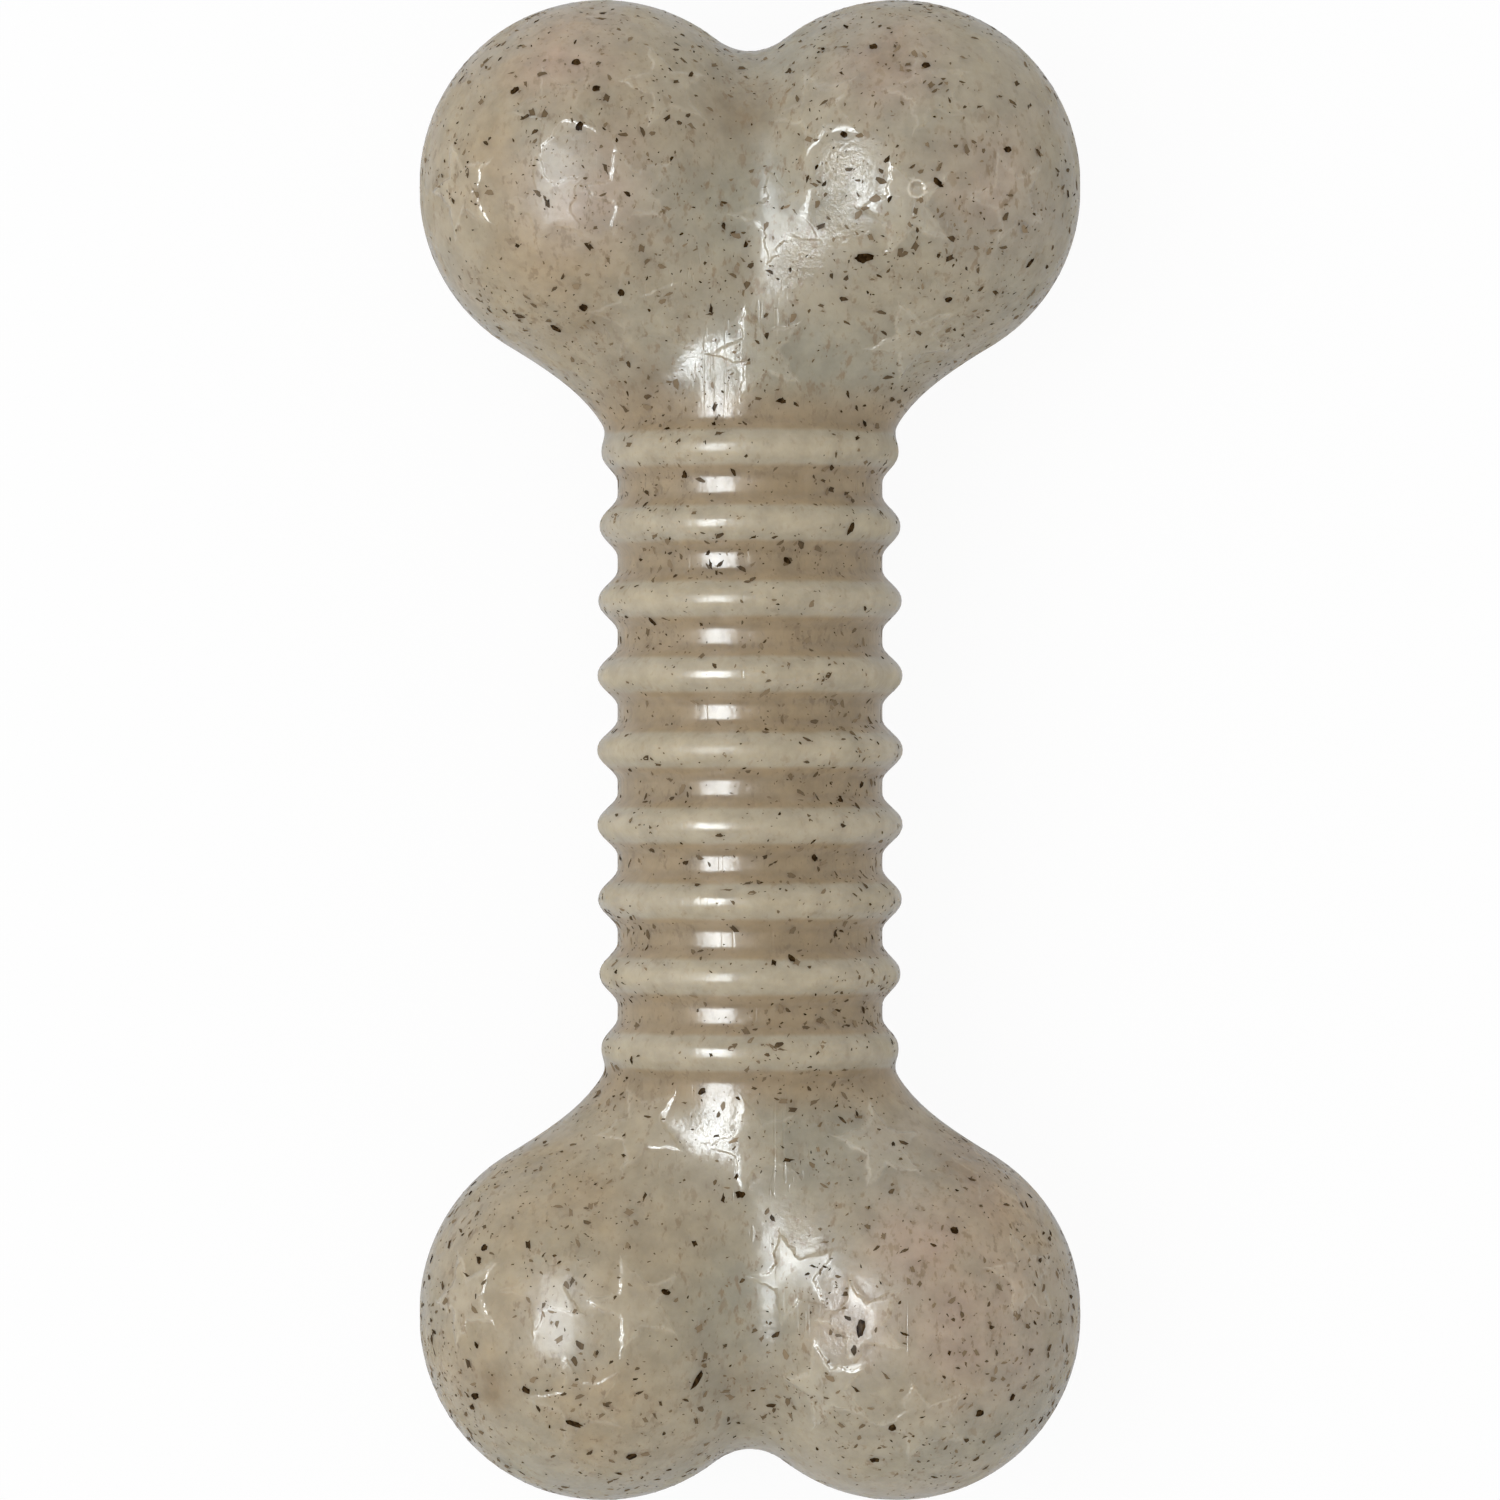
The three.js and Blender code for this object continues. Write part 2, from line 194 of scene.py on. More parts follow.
# Painted light and shade: seen in gloss, the floor's glow and the surroundings are brighter on the lit left
# side and darker on the shaded right side
SIDE_SPAN = 0.1  # the backdrop changes from the lit to the dark side over this far from the middle
PAINTED_LIT_SIDE = 1.2
PAINTED_SHADED_SIDE = 0.85
PAPER_GLOW = 0.94
OVERHEAD = (0.25, 0.75)  # heights between which the surroundings turn grey
OVERHEAD_GREY = 0.12

# Sockets of nodes that have several of the same name
MIX_COLOURS = (6, 7)
MIX_RESULT = 2
RANDOM_SOCKETS = {"FLOAT_VECTOR": (0, 1, 0), "FLOAT": (2, 3, 1), "INT": (4, 5, 2)}  # low, high and result

UNMOVED = ((0.0, 0.0, 0.0), 0.0, (1.0, 1.0, 1.0))


class Pattern(NamedTuple):
    """A noise of that many features to the metre, whose values from low to high turn into least to most."""

    scale: float
    detail: float = 2.0
    roughness: float = 0.5
    low: float = 0.0
    high: float = 1.0
    least: float = 0.0
    most: float = 1.0
    shift: tuple = UNMOVED[0]
    turn: float = UNMOVED[1]
    stretch: tuple = UNMOVED[2]


COOL_CLOUDS = Pattern(50, 3, low=0.42, high=0.66, most=0.7)
PATCH_EDGES = Pattern(110, 4, 0.6, low=0.3, high=0.7, least=0.5, most=1.3)
MOTTLE = Pattern(330, 4, 0.65, low=0.25, high=0.75, least=0.88, most=1.12, shift=(2.1, 0.2, 0.7))
STAR_WANDER = Pattern(330, 3)
SKIN_WAVES = Pattern(240, 3)
CRUMBS = Pattern(1500, 3, 0.6)
SCRATCHES = Pattern(1500, 1, low=0.64, high=0.72, turn=0.12, stretch=(1.0, 0.035, 1.0))
SCRATCHED = Pattern(70, 1, low=0.5, high=0.62, shift=(0.3, 0.9, 0.1))
RIB_WEAR = Pattern(170, 2, low=0.42, high=0.58, stretch=(0.35, 1.0, 0.35))
GROOVE_WEAR = Pattern(1300, 2, low=0.35, high=0.65, least=0.1, most=0.45, stretch=(1.0, 0.05, 1.0))
SKIN_WEAR = Pattern(190, 3, low=0.45, high=0.6, most=0.7, shift=(1.3, 0.4, 2.0))
NYLON_ROUGHNESS = Pattern(130, 3, low=0.3, high=0.7, least=0.3, most=0.5)
BARK_GRAIN = Pattern(2600, 3, low=0.35, high=0.7, stretch=(1.0, 0.4, 1.0))
FLECK_CROWDS = Pattern(75, 3, low=0.35, high=0.65, least=0.3, most=1.8)
SMUDGE_CROWDS = Pattern(85, low=0.4, high=0.62, least=0.25)
# Smudges of bark under the skin, by the turn of their long side
SMUDGES = {
    0.4: Pattern(800, 3, 0.6, low=0.58, high=0.68),
    1.7: Pattern(800, 3, 0.6, low=0.58, high=0.68),
    2.9: Pattern(1500, 3, 0.6, low=0.6, high=0.68),
}


def srgb(red, green, blue):
    """A colour given as 0 to 255 on screen, in the linear values that Blender keeps."""
    shares = (value / 255 for value in (red, green, blue))
    return tuple(s / 12.92 if s <= 0.04045 else ((s + 0.055) / 1.055) ** 2.4 for s in shares)


def length(name, description, default):
    """A size in metres that shows in the scene's own unit."""
    return FloatProperty(name=name, description=description, default=default, precision=5,
                         subtype="DISTANCE", unit="LENGTH")


def share(name, description, default):
    """A plain factor."""
    return FloatProperty(name=name, description=description, default=default, precision=3, subtype="FACTOR")


def power(name, description, default):
    """A lamp's power."""
    return FloatProperty(name=name, description=description, default=default, unit="POWER")


def colour(name, description, default):
    """A colour of a finish."""
    return FloatVectorProperty(name=name, description=description, default=default, size=3,
                               min=0.0, max=1.0, subtype="COLOR")


class BoneForm(bpy.types.PropertyGroup):
    """Sizes of the plain moulding, which repeat those of the solid model."""

    knob_radius: length("Knob radius", "Radius of each of the four knobs", KNOB_RADIUS)
    knob_x: length("Knob X", "From the bone's axis to a knob's centre", CAD_HIGH.x - KNOB_RADIUS)
    knob_y: length("Knob Y", "From the middle of the bone to a knob's centre", CAD_HIGH.y - KNOB_RADIUS)
    knob_reach: length("Knob reach", "How far a knob is drawn out towards the shaft", 0.6 * MM)
    cleft_rounding: length("Cleft rounding", "Radius between the two knobs of an end", 6 * MM)
    shaft_radius: length("Shaft radius", "Radius in the grooves between the ribs", 15.85 * MM)
    shaft_setback: length("Shaft setback", "From a knob's centre to where the shaft domes", 22 * MM)
    neck_rounding: length("Neck rounding", "Radius between the shaft and the knobs", 13 * MM)
    ridge_reach: length("Ridge reach", "How much farther the shaft runs above and below", 10 * MM)
    ridge_rounding: length("Ridge rounding", "Radius of the neck above and below", 7 * MM)
    axis_height: length("Axis height", "The bone's axis above the floor", KNOB_RADIUS - REST_DEPTH)
    parting_ridge: length("Parting ridge", "Height of the line where the mould's halves met", 0.05 * MM)


class RibSizes(bpy.types.PropertyGroup):
    """Sizes of the rings round the shaft."""

    count: IntProperty(name="Count", description="Number of ribs", default=9, min=1)
    pitch: length("Pitch", "From rib to rib", 8.96 * MM)
    width: length("Width", "Width of one rib at its foot", 7.44 * MM)
    height: length("Height", "Height of the middle rib above its grooves", 2.5 * MM)
    crown: length("Crown", "How much lower the outermost ribs are", 0.5 * MM)
    fullness: share("Fullness", "Above 1 the crest is broad and the foot is short", 1.15)


class ReliefSizes(bpy.types.PropertyGroup):
    """Sizes of the raised stars and of the gate mark."""

    star_radius: length("Star radius", "From a star's centre to its tips", 5.7 * MM)
    star_waist: share("Star waist", "A star's inner corners as a share of its radius", 0.44)
    star_height: length("Star height", "How far the freshest star stands above the skin", 0.13 * MM)
    star_edge: length("Star edge", "Width of a star's sloping edge", 0.6 * MM)
    lip_height: length("Lip height", "Height of the fine lip round a star", 0.14 * MM)
    lip_edge: length("Lip edge", "Width of that lip's slope", 0.45 * MM)
    star_stray: share("Star stray", "How far a star's lip strays, as a share of the star's radius", 0.5)
    faintest: share("Faintest star", "Height of the most worn star as a share of the freshest", 0.3)
    gate_radius: length("Gate radius", "Radius of the ring that the gate left", 1 * MM)
    gate_height: length("Gate height", "Height of that ring", 0.1 * MM)
    gate_edge: length("Gate edge", "Width of that ring", 0.3 * MM)


class FleckSizes(bpy.types.PropertyGroup):
    """The small wood flecks in the skin."""

    density: FloatProperty(name="Density", description="Flecks on each square metre of skin",
                           default=345000, min=0)
    shortest: length("Shortest", "Length of the smallest fleck", 0.24 * MM)
    longest: length("Longest", "Length of the largest fleck", 1.22 * MM)
    proud: length("Proud", "How far a fleck's upper side stands above the skin", 0.02 * MM)
    sunk: length("Sunk", "How far its lower side lies under the skin", 0.08 * MM)
    seed: IntProperty(name="Seed", description="Seed of the scatter", default=7)


class Finishes(bpy.types.PropertyGroup):
    """Colours of the nylon, the bark and the studio; some of the nylon's colours paint light and shade, as
    noted at each.
    """

    nylon: colour("Nylon", "Most of the bone", srgb(156, 147, 128))
    nylon_warm: colour("Warm nylon", "Yellowish patches of the nylon", srgb(163, 142, 110))
    nylon_cool: colour("Cool nylon", "Greyish clouds in the nylon", srgb(148, 144, 129))
    nylon_pink: colour("Pink nylon", "Pinkish patches of the nylon", srgb(168, 146, 131))
    # crest is painted light on the ribs, where light shines through the thin nylon; groove is painted shade
    # in the grooves
    crest: colour("Crest", "Raised nylon on the ribs", srgb(163, 154, 135))
    groove_shade: colour("Groove", "Nylon in the grooves between the ribs", srgb(152, 133, 105))
    # ring is the gate mark's own paler colour; on the stars it is painted light on their faces and a
    # painted highlight along their edges
    ring: colour("Ring", "The gate mark and, more faintly, the stars", srgb(204, 196, 180))
    deep_bark: colour("Deep bark", "Stains, and the grain of the bark", srgb(104, 80, 48))
    bark: colour("Bark", "Bark at the skin", srgb(28, 17, 5))
    bark_faded: colour("Faded bark", "Bark just under the skin", srgb(136, 119, 96))
    floor: colour("Floor", "The studio floor", srgb(220, 220, 220))
    sheen: colour("Sheen", "The softbox where it is mirrored", (0.87, 0.95, 1.0))


class Studio(bpy.types.PropertyGroup):
    """Camera and light."""

    lens: FloatProperty(name="Lens", description="Focal length", default=200, unit="CAMERA")
    key_tilt: FloatProperty(name="Key tilt", description="Softbox's lean from straight above",
                            default=math.radians(28), subtype="ANGLE", unit="ROTATION")
    key_power: power("Key power", "Power of the softbox", 18.5)
    sheen_power: power("Sheen power", "Added to the softbox where it is mirrored", 112)
    glint_power: power("Glint power", "Power of the small lamp beside the lens", 0.15)
    fill: share("Fill", "Even light from all round", 0.85)
    mirrored: share("Mirrored", "How much of the bright surroundings the gloss shows", 0.42)


SETTINGS = {
    "bone_form": BoneForm,
    "bone_ribs": RibSizes,
    "bone_relief": ReliefSizes,
    "bone_flecks": FleckSizes,
    "bone_finishes": Finishes,
    "bone_studio": Studio,
}


# The bone's skin as a formula
def round_join(first, second, radius):
    """Joins two distances with a rounded corner of that radius."""
    in_first = np.maximum(radius - first, 0)
    in_second = np.maximum(radius - second, 0)
    return np.maximum(radius, np.minimum(first, second)) - np.hypot(in_first, in_second)


def plain_distance(points):
    """Distance to the bone without its ribs and stars, below zero inside."""
    form = bpy.context.scene.bone_form
    across = np.abs(points[:, 0])
    along = np.abs(points[:, 1])
    up = points[:, 2] - form.axis_height
    inner = form.knob_y - form.knob_reach
    past = np.where(along > form.knob_y, along - form.knob_y, np.minimum(along - inner, 0))
    near_knob = np.sqrt((across - form.knob_x) ** 2 + past ** 2 + up ** 2) - form.knob_radius
    other_knob = np.sqrt((across + form.knob_x) ** 2 + past ** 2 + up ** 2) - form.knob_radius
    pair = round_join(near_knob, other_knob, form.cleft_rounding)
    lean = up ** 2 / np.maximum(up ** 2 + across ** 2, MM ** 3)
    shaft_end = form.knob_y - form.shaft_setback + form.ridge_reach * lean
    beyond = np.maximum(along - shaft_end, 0)
    shaft = np.sqrt(across ** 2 + beyond ** 2 + up ** 2) - form.shaft_radius
    rounding = form.neck_rounding + (form.ridge_rounding - form.neck_rounding) * lean
    return round_join(pair, shaft, rounding)


def skin_ahead(origins, directions):
    """Where rays from inside the bone leave its plain skin."""
    inside = np.zeros(len(origins))
    outside = np.full(len(origins), 4 * KNOB_RADIUS)
    for _ in range(REACH_STEPS):
        middle = (inside + outside) / 2
        within = plain_distance(origins + directions * middle[:, None]) < 0
        inside = np.where(within, middle, inside)
        outside = np.where(within, outside, middle)
    return origins + directions * inside[:, None]


def unit(rows):
    """Vectors in rows, each brought to length 1."""
    return rows / np.linalg.norm(rows, axis=1, keepdims=True)


def plain_slope(points):
    """Gradient of the plain distance."""
    slope = np.empty_like(points)
    for axis in range(3):
        shift = np.zeros(3)
        shift[axis] = SLOPE_STEP
        rise = plain_distance(points + shift) - plain_distance(points - shift)
        slope[:, axis] = rise / (2 * SLOPE_STEP)
    return slope


def plain_normals(points):
    """Outward unit normals of the bone without its ribs and stars."""
    return unit(plain_slope(points))


def settled(points):
    """Points near the plain skin, brought onto it."""
    for _ in range(SETTLE_STEPS):
        slope = plain_slope(points)
        step = plain_distance(points) / (slope ** 2).sum(1)
        points = points - slope * step[:, None]
    return points


def rib_lift(points):
    """How far the ribs lift points of the plain skin away from the axis."""
    form = bpy.context.scene.bone_form
    ribs = bpy.context.scene.bone_ribs
    half = (ribs.count - 1) / 2
    index = np.clip(np.round(points[:, 1] / ribs.pitch + half), 0, ribs.count - 1) - half
    off = np.minimum(np.abs(points[:, 1] - index * ribs.pitch) / (ribs.width / 2), 1)
    part = (1 + np.cos(np.pi * off ** ribs.fullness)) / 2
    crest = form.shaft_radius + ribs.height - ribs.crown * (index / max(half, 1)) ** 2
    radius = np.hypot(points[:, 0], points[:, 2] - form.axis_height)
    return np.maximum((crest - radius) * part, 0)


# Stars and gate mark, raised from the skin
def star_corners():
    """A star's outline round its centre, with one tip towards -X, as rows of X and Y."""
    relief = bpy.context.scene.bone_relief
    corners = []
    for step in range(2 * STAR_POINTS):
        radius = relief.star_radius * (relief.star_waist if step % 2 else 1)
        turn = math.pi + step * math.pi / STAR_POINTS
        corners.append((radius * math.cos(turn), radius * math.sin(turn)))
    return np.array(corners)


def outline_distance(flat, corners):
    """Signed distance of flat points to a closed outline, below zero inside."""
    nearest = np.full(len(flat), np.inf)
    inside = np.zeros(len(flat), bool)
    for start, end in zip(corners, np.roll(corners, -1, axis=0)):
        edge = end - start
        offset = flat - start
        place = np.clip(offset @ edge / (edge @ edge), 0, 1)
        nearest = np.minimum(nearest, np.linalg.norm(offset - place[:, None] * edge, axis=1))
        spans = (start[1] > flat[:, 1]) != (end[1] > flat[:, 1])
        rise = edge[1] if edge[1] else 1
        crossing = start[0] + (flat[:, 1] - start[1]) * edge[0] / rise
        inside ^= spans & (flat[:, 0] < crossing)
    return np.where(inside, -nearest, nearest)


def relief_frames(spots, side):
    """Frames on the plain skin over or under the given places: centre and two axes along the skin."""
    form = bpy.context.scene.bone_form
    places = np.array(spots) * NEARER
    origins = np.column_stack([places[:, 0] * side, places[:, 1], np.full(len(places), form.axis_height)])
    centres = skin_ahead(origins, np.tile((0.0, 0.0, side), (len(places), 1)))
    normals = plain_normals(centres)
    sideways = unit(np.array((side, 0.0, 0.0)) - normals * (normals[:, :1] * side))
    return list(zip(centres, sideways, np.cross(normals, sideways)))


def star_frames():
    """Every star's frame: the underside has the same stars as the upper side, turned over."""
    return relief_frames(STAR_SPOTS, 1.0) + relief_frames(STAR_SPOTS, -1.0)


def freshness(number):
    """How little a star is worn, up to 1."""
    faintest = bpy.context.scene.bone_relief.faintest
    return faintest + (1 - faintest) * (number * GOLDEN_SHARE % 1)


def star_fields(points):
    """For each star in turn: the points near it, their distances to its outline, and its freshness."""
    reach = STAR_REACH * bpy.context.scene.bone_relief.star_radius
    corners = star_corners()
    for number, (centre, sideways, forward) in enumerate(star_frames()):
        offset = points - centre
        near = np.flatnonzero((offset ** 2).sum(1) < reach ** 2)
        flat = np.column_stack([offset[near] @ sideways, offset[near] @ forward])
        yield near, outline_distance(flat, corners), freshness(number)


def star_gap(points):
    """Signed distance along the skin to the nearest star's outline, below zero on a star."""
    gap = np.full(len(points), bpy.context.scene.bone_relief.star_radius)
    for near, distance, _ in star_fields(points):
        gap[near] = np.minimum(gap[near], distance)
    return gap


def gate_gap(points):
    """Distance along the skin to the middle of the gate mark's ring."""
    centre, _, _ = relief_frames([GATE_SPOT], 1.0)[0]
    return np.linalg.norm(points - centre, axis=1) - bpy.context.scene.bone_relief.gate_radius


def star_share(points):
    """Up to 1 on the stars, less on worn ones, 0 beside them, and a smooth slope between."""
    edge = bpy.context.scene.bone_relief.star_edge
    part = np.zeros(len(points))
    for near, distance, fresh in star_fields(points):
        rise = np.clip(0.5 - distance / edge, 0, 1)
        part[near] = np.maximum(part[near], fresh * rise * rise * (3 - 2 * rise))
    return part


def ring_share(points):
    """1 on the gate mark's ring and 0 away from it."""
    return np.exp(-((gate_gap(points) / (bpy.context.scene.bone_relief.gate_edge / 2)) ** 2))


def patch_share(points, patches):
    """A patch's strength in its middle, and 0 away from the given patches of the skin."""
    part = np.zeros(len(points))
    for across, along, radius, strength in patches:
        gap = np.hypot(points[:, 0] - across * NEARER, points[:, 1] - along * NEARER) / (radius * NEARER)
        part = np.maximum(part, strength * np.exp(-gap ** 2))
    return part


def relief_height(points):
    """How far stars and gate mark stand above the plain skin."""
    relief = bpy.context.scene.bone_relief
    return star_share(points) * relief.star_height + ring_share(points) * relief.gate_height


def finished_skin(points):
    """Points near the plain skin, brought onto the finished one with its stars and ribs."""
    form = bpy.context.scene.bone_form
    plain = settled(points)
    lift = rib_lift(plain)
    raised = plain + plain_normals(plain) * relief_height(plain)[:, None]
    around = raised * (1, 0, 1) - (0, 0, form.axis_height)
    return raised + around * (lift / np.linalg.norm(around, axis=1))[:, None]


def inside_box(points):
    """Points held inside the solid model's box, which also makes the flats under the knobs."""
    return np.clip(points, CAD_LOW, CAD_HIGH)


# Meshes
def new_object(name, data):
    """A new object in the scene."""
    made = bpy.data.objects.new(name, data)
    bpy.context.scene.collection.objects.link(made)
    return made


def closed_mesh(name, first, rings, last):
    """A closed skin over rings of points, with a fan of faces round the point at either end."""
    points = np.concatenate([first, *rings, last])
    count = len(rings[0])
    final = 1 + (len(rings) - 1) * count
    faces = []
    for index in range(count):
        following = (index + 1) % count
        faces.append((0, 1 + index, 1 + following))
        for here in range(1, final, count):
            there = here + count
            faces.append((here + index, there + index, there + following, here + following))
        faces.append((len(points) - 1, final + following, final + index))
    mesh = bpy.data.meshes.new(name)
    mesh.from_pydata(points.tolist(), [], faces)
    return mesh


def read(items, name, width=1, kind=float):
    """One property of all of a mesh's vertices, faces or corners, in rows of that width."""
    flat = np.empty(width * len(items), kind)
    items.foreach_get(name, flat)
    return flat.reshape(-1, width) if width > 1 else flat


def coordinates(mesh):
    """A mesh's vertices as rows of X, Y and Z."""
    return read(mesh.vertices, "co", 3)


def place_vertices(mesh, points):
    """Moves a mesh's vertices to the given places."""
    mesh.vertices.foreach_set("co", points.ravel())
    mesh.update()


def store_values(mesh, name, values):
    """Keeps one value for each vertex, for the materials."""
    mesh.attributes.new(name, "FLOAT", "POINT").data.foreach_set("value", values)


def store_star_places(mesh):
    """Keeps for each face's corners their place on the nearest star, in its radii, and its freshness."""
    radius = bpy.context.scene.bone_relief.star_radius
    centres, sideways, forward = (np.array(axes) for axes in zip(*star_frames()))
    fresh = np.array([freshness(number) for number in range(len(centres))])
    middles = read(mesh.polygons, "center", 3)
    gaps = [((middles - centre) ** 2).sum(1) for centre in centres]
    nearest = np.repeat(np.argmin(gaps, axis=0), read(mesh.polygons, "loop_total", kind=int))
    offset = coordinates(mesh)[read(mesh.loops, "vertex_index", kind=int)] - centres[nearest]
    places = [(offset * axis[nearest]).sum(1) / radius for axis in (sideways, forward)]
    places = np.column_stack([*places, fresh[nearest]])
    mesh.attributes.new("star_place", "FLOAT_VECTOR", "CORNER").data.foreach_set("vector", places.ravel())


def ring_angles():
    """Angles of points round the axis, crowded at the sides, with two beside each parting line."""
    form = bpy.context.scene.bone_form
    crowding = math.tan(math.pi / 3) * form.knob_x / form.knob_radius
    turns = 2 * np.pi * np.arange(RING_SEGMENTS) / RING_SEGMENTS
    angles = np.arctan2(np.sin(turns), crowding * np.cos(turns)) % (2 * np.pi)
    extra = np.array((BESIDE_LINE, np.pi - BESIDE_LINE, np.pi + BESIDE_LINE, 2 * np.pi - BESIDE_LINE))
    return np.sort(np.concatenate([angles, extra]))


def middle_rings(angles):
    """Rings square to the axis, from one pair of knob centres to the other."""
    form = bpy.context.scene.bone_form
    ribs = bpy.context.scene.bone_ribs
    ribs_end = ribs.count * ribs.pitch / 2
    neck = np.linspace(ribs_end, form.knob_y, NECK_STEPS + 1)[1:]
    shaft = np.linspace(-ribs_end, ribs_end, ribs.count * RIB_STEPS + 1)
    stations = np.concatenate([-neck[::-1], shaft, neck])
    directions = np.column_stack([np.cos(angles), np.zeros(len(angles)), np.sin(angles)])
    rings = []
    for along in stations:
        origins = np.tile((0.0, along, form.axis_height), (len(angles), 1))
        rings.append(skin_ahead(origins, directions))
    return rings


def cap_rings(angles, end):
    """Rings over one end, on rays from between the knobs' centres, from the cleft to the knobs' middles."""
    form = bpy.context.scene.bone_form
    origins = np.tile((0.0, end * form.knob_y, form.axis_height), (len(angles), 1))
    rings = []
    for tilt in np.linspace(0, np.pi / 2, CAP_STEPS + 1)[:-1]:
        directions = np.column_stack([
            np.cos(angles) * math.sin(tilt),
            np.full(len(angles), end * math.cos(tilt)),
            np.sin(angles) * math.sin(tilt),
        ])
        rings.append(skin_ahead(origins, directions))
    return rings


def plain_mesh():
    """The bone's closed skin without ribs and stars, as rings of four-cornered faces."""
    angles = ring_angles()
    near = cap_rings(angles, -1)
    far = cap_rings(angles, 1)
    rings = near[1:] + middle_rings(angles) + far[:0:-1]
    return closed_mesh("bone_skin", near[0][:1], rings, far[0][:1])


def refine(mesh, gap_of, reach):
    """Splits the faces near a relief's edge, and brings the new points onto the plain skin."""
    work = bmesh.new()
    work.from_mesh(mesh)
    work.faces.ensure_lookup_table()
    centres = np.array([face.calc_center_median() for face in work.faces])
    wanted = np.flatnonzero(np.abs(gap_of(centres)) < reach)
    edges = {edge for index in wanted for edge in work.faces[index].edges}
    bmesh.ops.subdivide_edges(work, edges=list(edges), cuts=1, use_grid_fill=True, use_single_edge=True)
    work.to_mesh(mesh)
    work.free()
    place_vertices(mesh, settled(coordinates(mesh)))


def raise_relief(mesh):
    """Raises the stars, the gate mark and the parting line, and keeps values for the material."""
    form = bpy.context.scene.bone_form
    plain = coordinates(mesh)
    on_line = np.abs(plain[:, 2] - form.axis_height) < ON_LINE
    height = relief_height(plain) + on_line * form.parting_ridge
    store_values(mesh, "ring", ring_share(plain))
    store_star_places(mesh)
    for name, patches in PATCHES.items():
        store_values(mesh, name, patch_share(plain, patches))
    place_vertices(mesh, plain + plain_normals(plain) * height[:, None])


# Node trees
class Value:
    """An output of a node, with which sums are written as formulas."""

    def __init__(self, tree, socket):
        self.tree = tree
        self.socket = socket

    def __add__(self, other):
        return maths("ADD", self, other)

    def __sub__(self, other):
        return maths("SUBTRACT", self, other)

    def __rsub__(self, other):
        return maths("SUBTRACT", other, self)

    def __mul__(self, other):
        return maths("MULTIPLY", self, other)

    def __truediv__(self, other):
        return maths("DIVIDE", self, other)

    def __pow__(self, other):
        return maths("POWER", self, other)

    def __abs__(self):
        return maths("ABSOLUTE", self)


def feed(socket, value):
    """Links an output to a socket, or sets the socket's own value."""
    if isinstance(value, Value):
        value.tree.links.new(value.socket, socket)
    else:
        socket.default_value = value


def add_node(tree, kind, inputs=None, **settings):
    """A node with its settings, and its inputs fed by name or number."""
    node = tree.nodes.new(kind)
    for key, value in settings.items():
        setattr(node, key, value)
    for key, value in (inputs or {}).items():
        feed(node.inputs[key], value)
    return node


def output(tree, kind, inputs=None, which=0, **settings):
    """One output of a new node."""
    return Value(tree, add_node(tree, kind, inputs, **settings).outputs[which])


def maths(operation, *values):
    """The result of one sum, in the tree of the first output among its values."""
    tree = next(value.tree for value in values if isinstance(value, Value))
    return output(tree, "ShaderNodeMath", dict(enumerate(values)), operation=operation)


def larger(first, second):
    """The larger of two values."""
    return maths("MAXIMUM", first, second)


def smaller(first, second):
    """The smaller of two values."""
    return maths("MINIMUM", first, second)


def between(value, low, high, least=0.0, most=1.0):
    """A value carried smoothly from one range to another, and held at its ends."""
    inputs = {"Value": value, "From Min": low, "From Max": high, "To Min": least, "To Max": most}
    return output(value.tree, "ShaderNodeMapRange", inputs, "Result", interpolation_type="SMOOTHSTEP")


def blended(part, first, second):
    """Two colours mixed by a share."""
    mix = add_node(part.tree, "ShaderNodeMix", {0: part}, data_type="RGBA")
    for index, value in zip(MIX_COLOURS, (first, second)):
        feed(mix.inputs[index], value if isinstance(value, Value) else (*value, 1.0))
    return Value(part.tree, mix.outputs[MIX_RESULT])


def scaled(vector, factor):
    """A vector or a colour times a factor."""
    return output(vector.tree, "ShaderNodeVectorMath", {0: vector, "Scale": factor}, operation="SCALE")


def parts_of(vector):
    """X, Y and Z of a vector."""
    separate = add_node(vector.tree, "ShaderNodeSeparateXYZ", {0: vector})
    return [Value(vector.tree, socket) for socket in separate.outputs]


def moved(coords, shift, turn, stretch):
    """Coordinates that are shifted, turned and stretched for one pattern."""
    inputs = {"Vector": coords, "Location": shift, "Rotation": (0.0, 0.0, turn), "Scale": stretch}
    return output(coords.tree, "ShaderNodeMapping", inputs)


def noise(coords, pattern, which="Fac"):
    """A pattern's noise itself."""
    placing = (pattern.shift, pattern.turn, pattern.stretch)
    placed = coords if placing == UNMOVED else moved(coords, *placing)
    inputs = {
        "Vector": placed, "Scale": pattern.scale, "Detail": pattern.detail, "Roughness": pattern.roughness,
    }
    return output(coords.tree, "ShaderNodeTexNoise", inputs, which)


def shown(coords, pattern):
    """A pattern's noise, turned into its own range."""
    return between(noise(coords, pattern), pattern.low, pattern.high, pattern.least, pattern.most)


def vertex_value(tree, name):
    """A value that the mesh holds for each vertex."""
    return output(tree, "ShaderNodeAttribute", which="Fac", attribute_name=name)


def new_material(name, values):
    """A material with the given values on its shader, that shader, and the piece's own coordinates."""
    material = bpy.data.materials.new(name)
    material.use_nodes = True
    shader = material.node_tree.nodes["Principled BSDF"]
    for key, value in values.items():
        shader.inputs[key].default_value = value
    return material, shader, output(material.node_tree, "ShaderNodeTexCoord", which="Object")


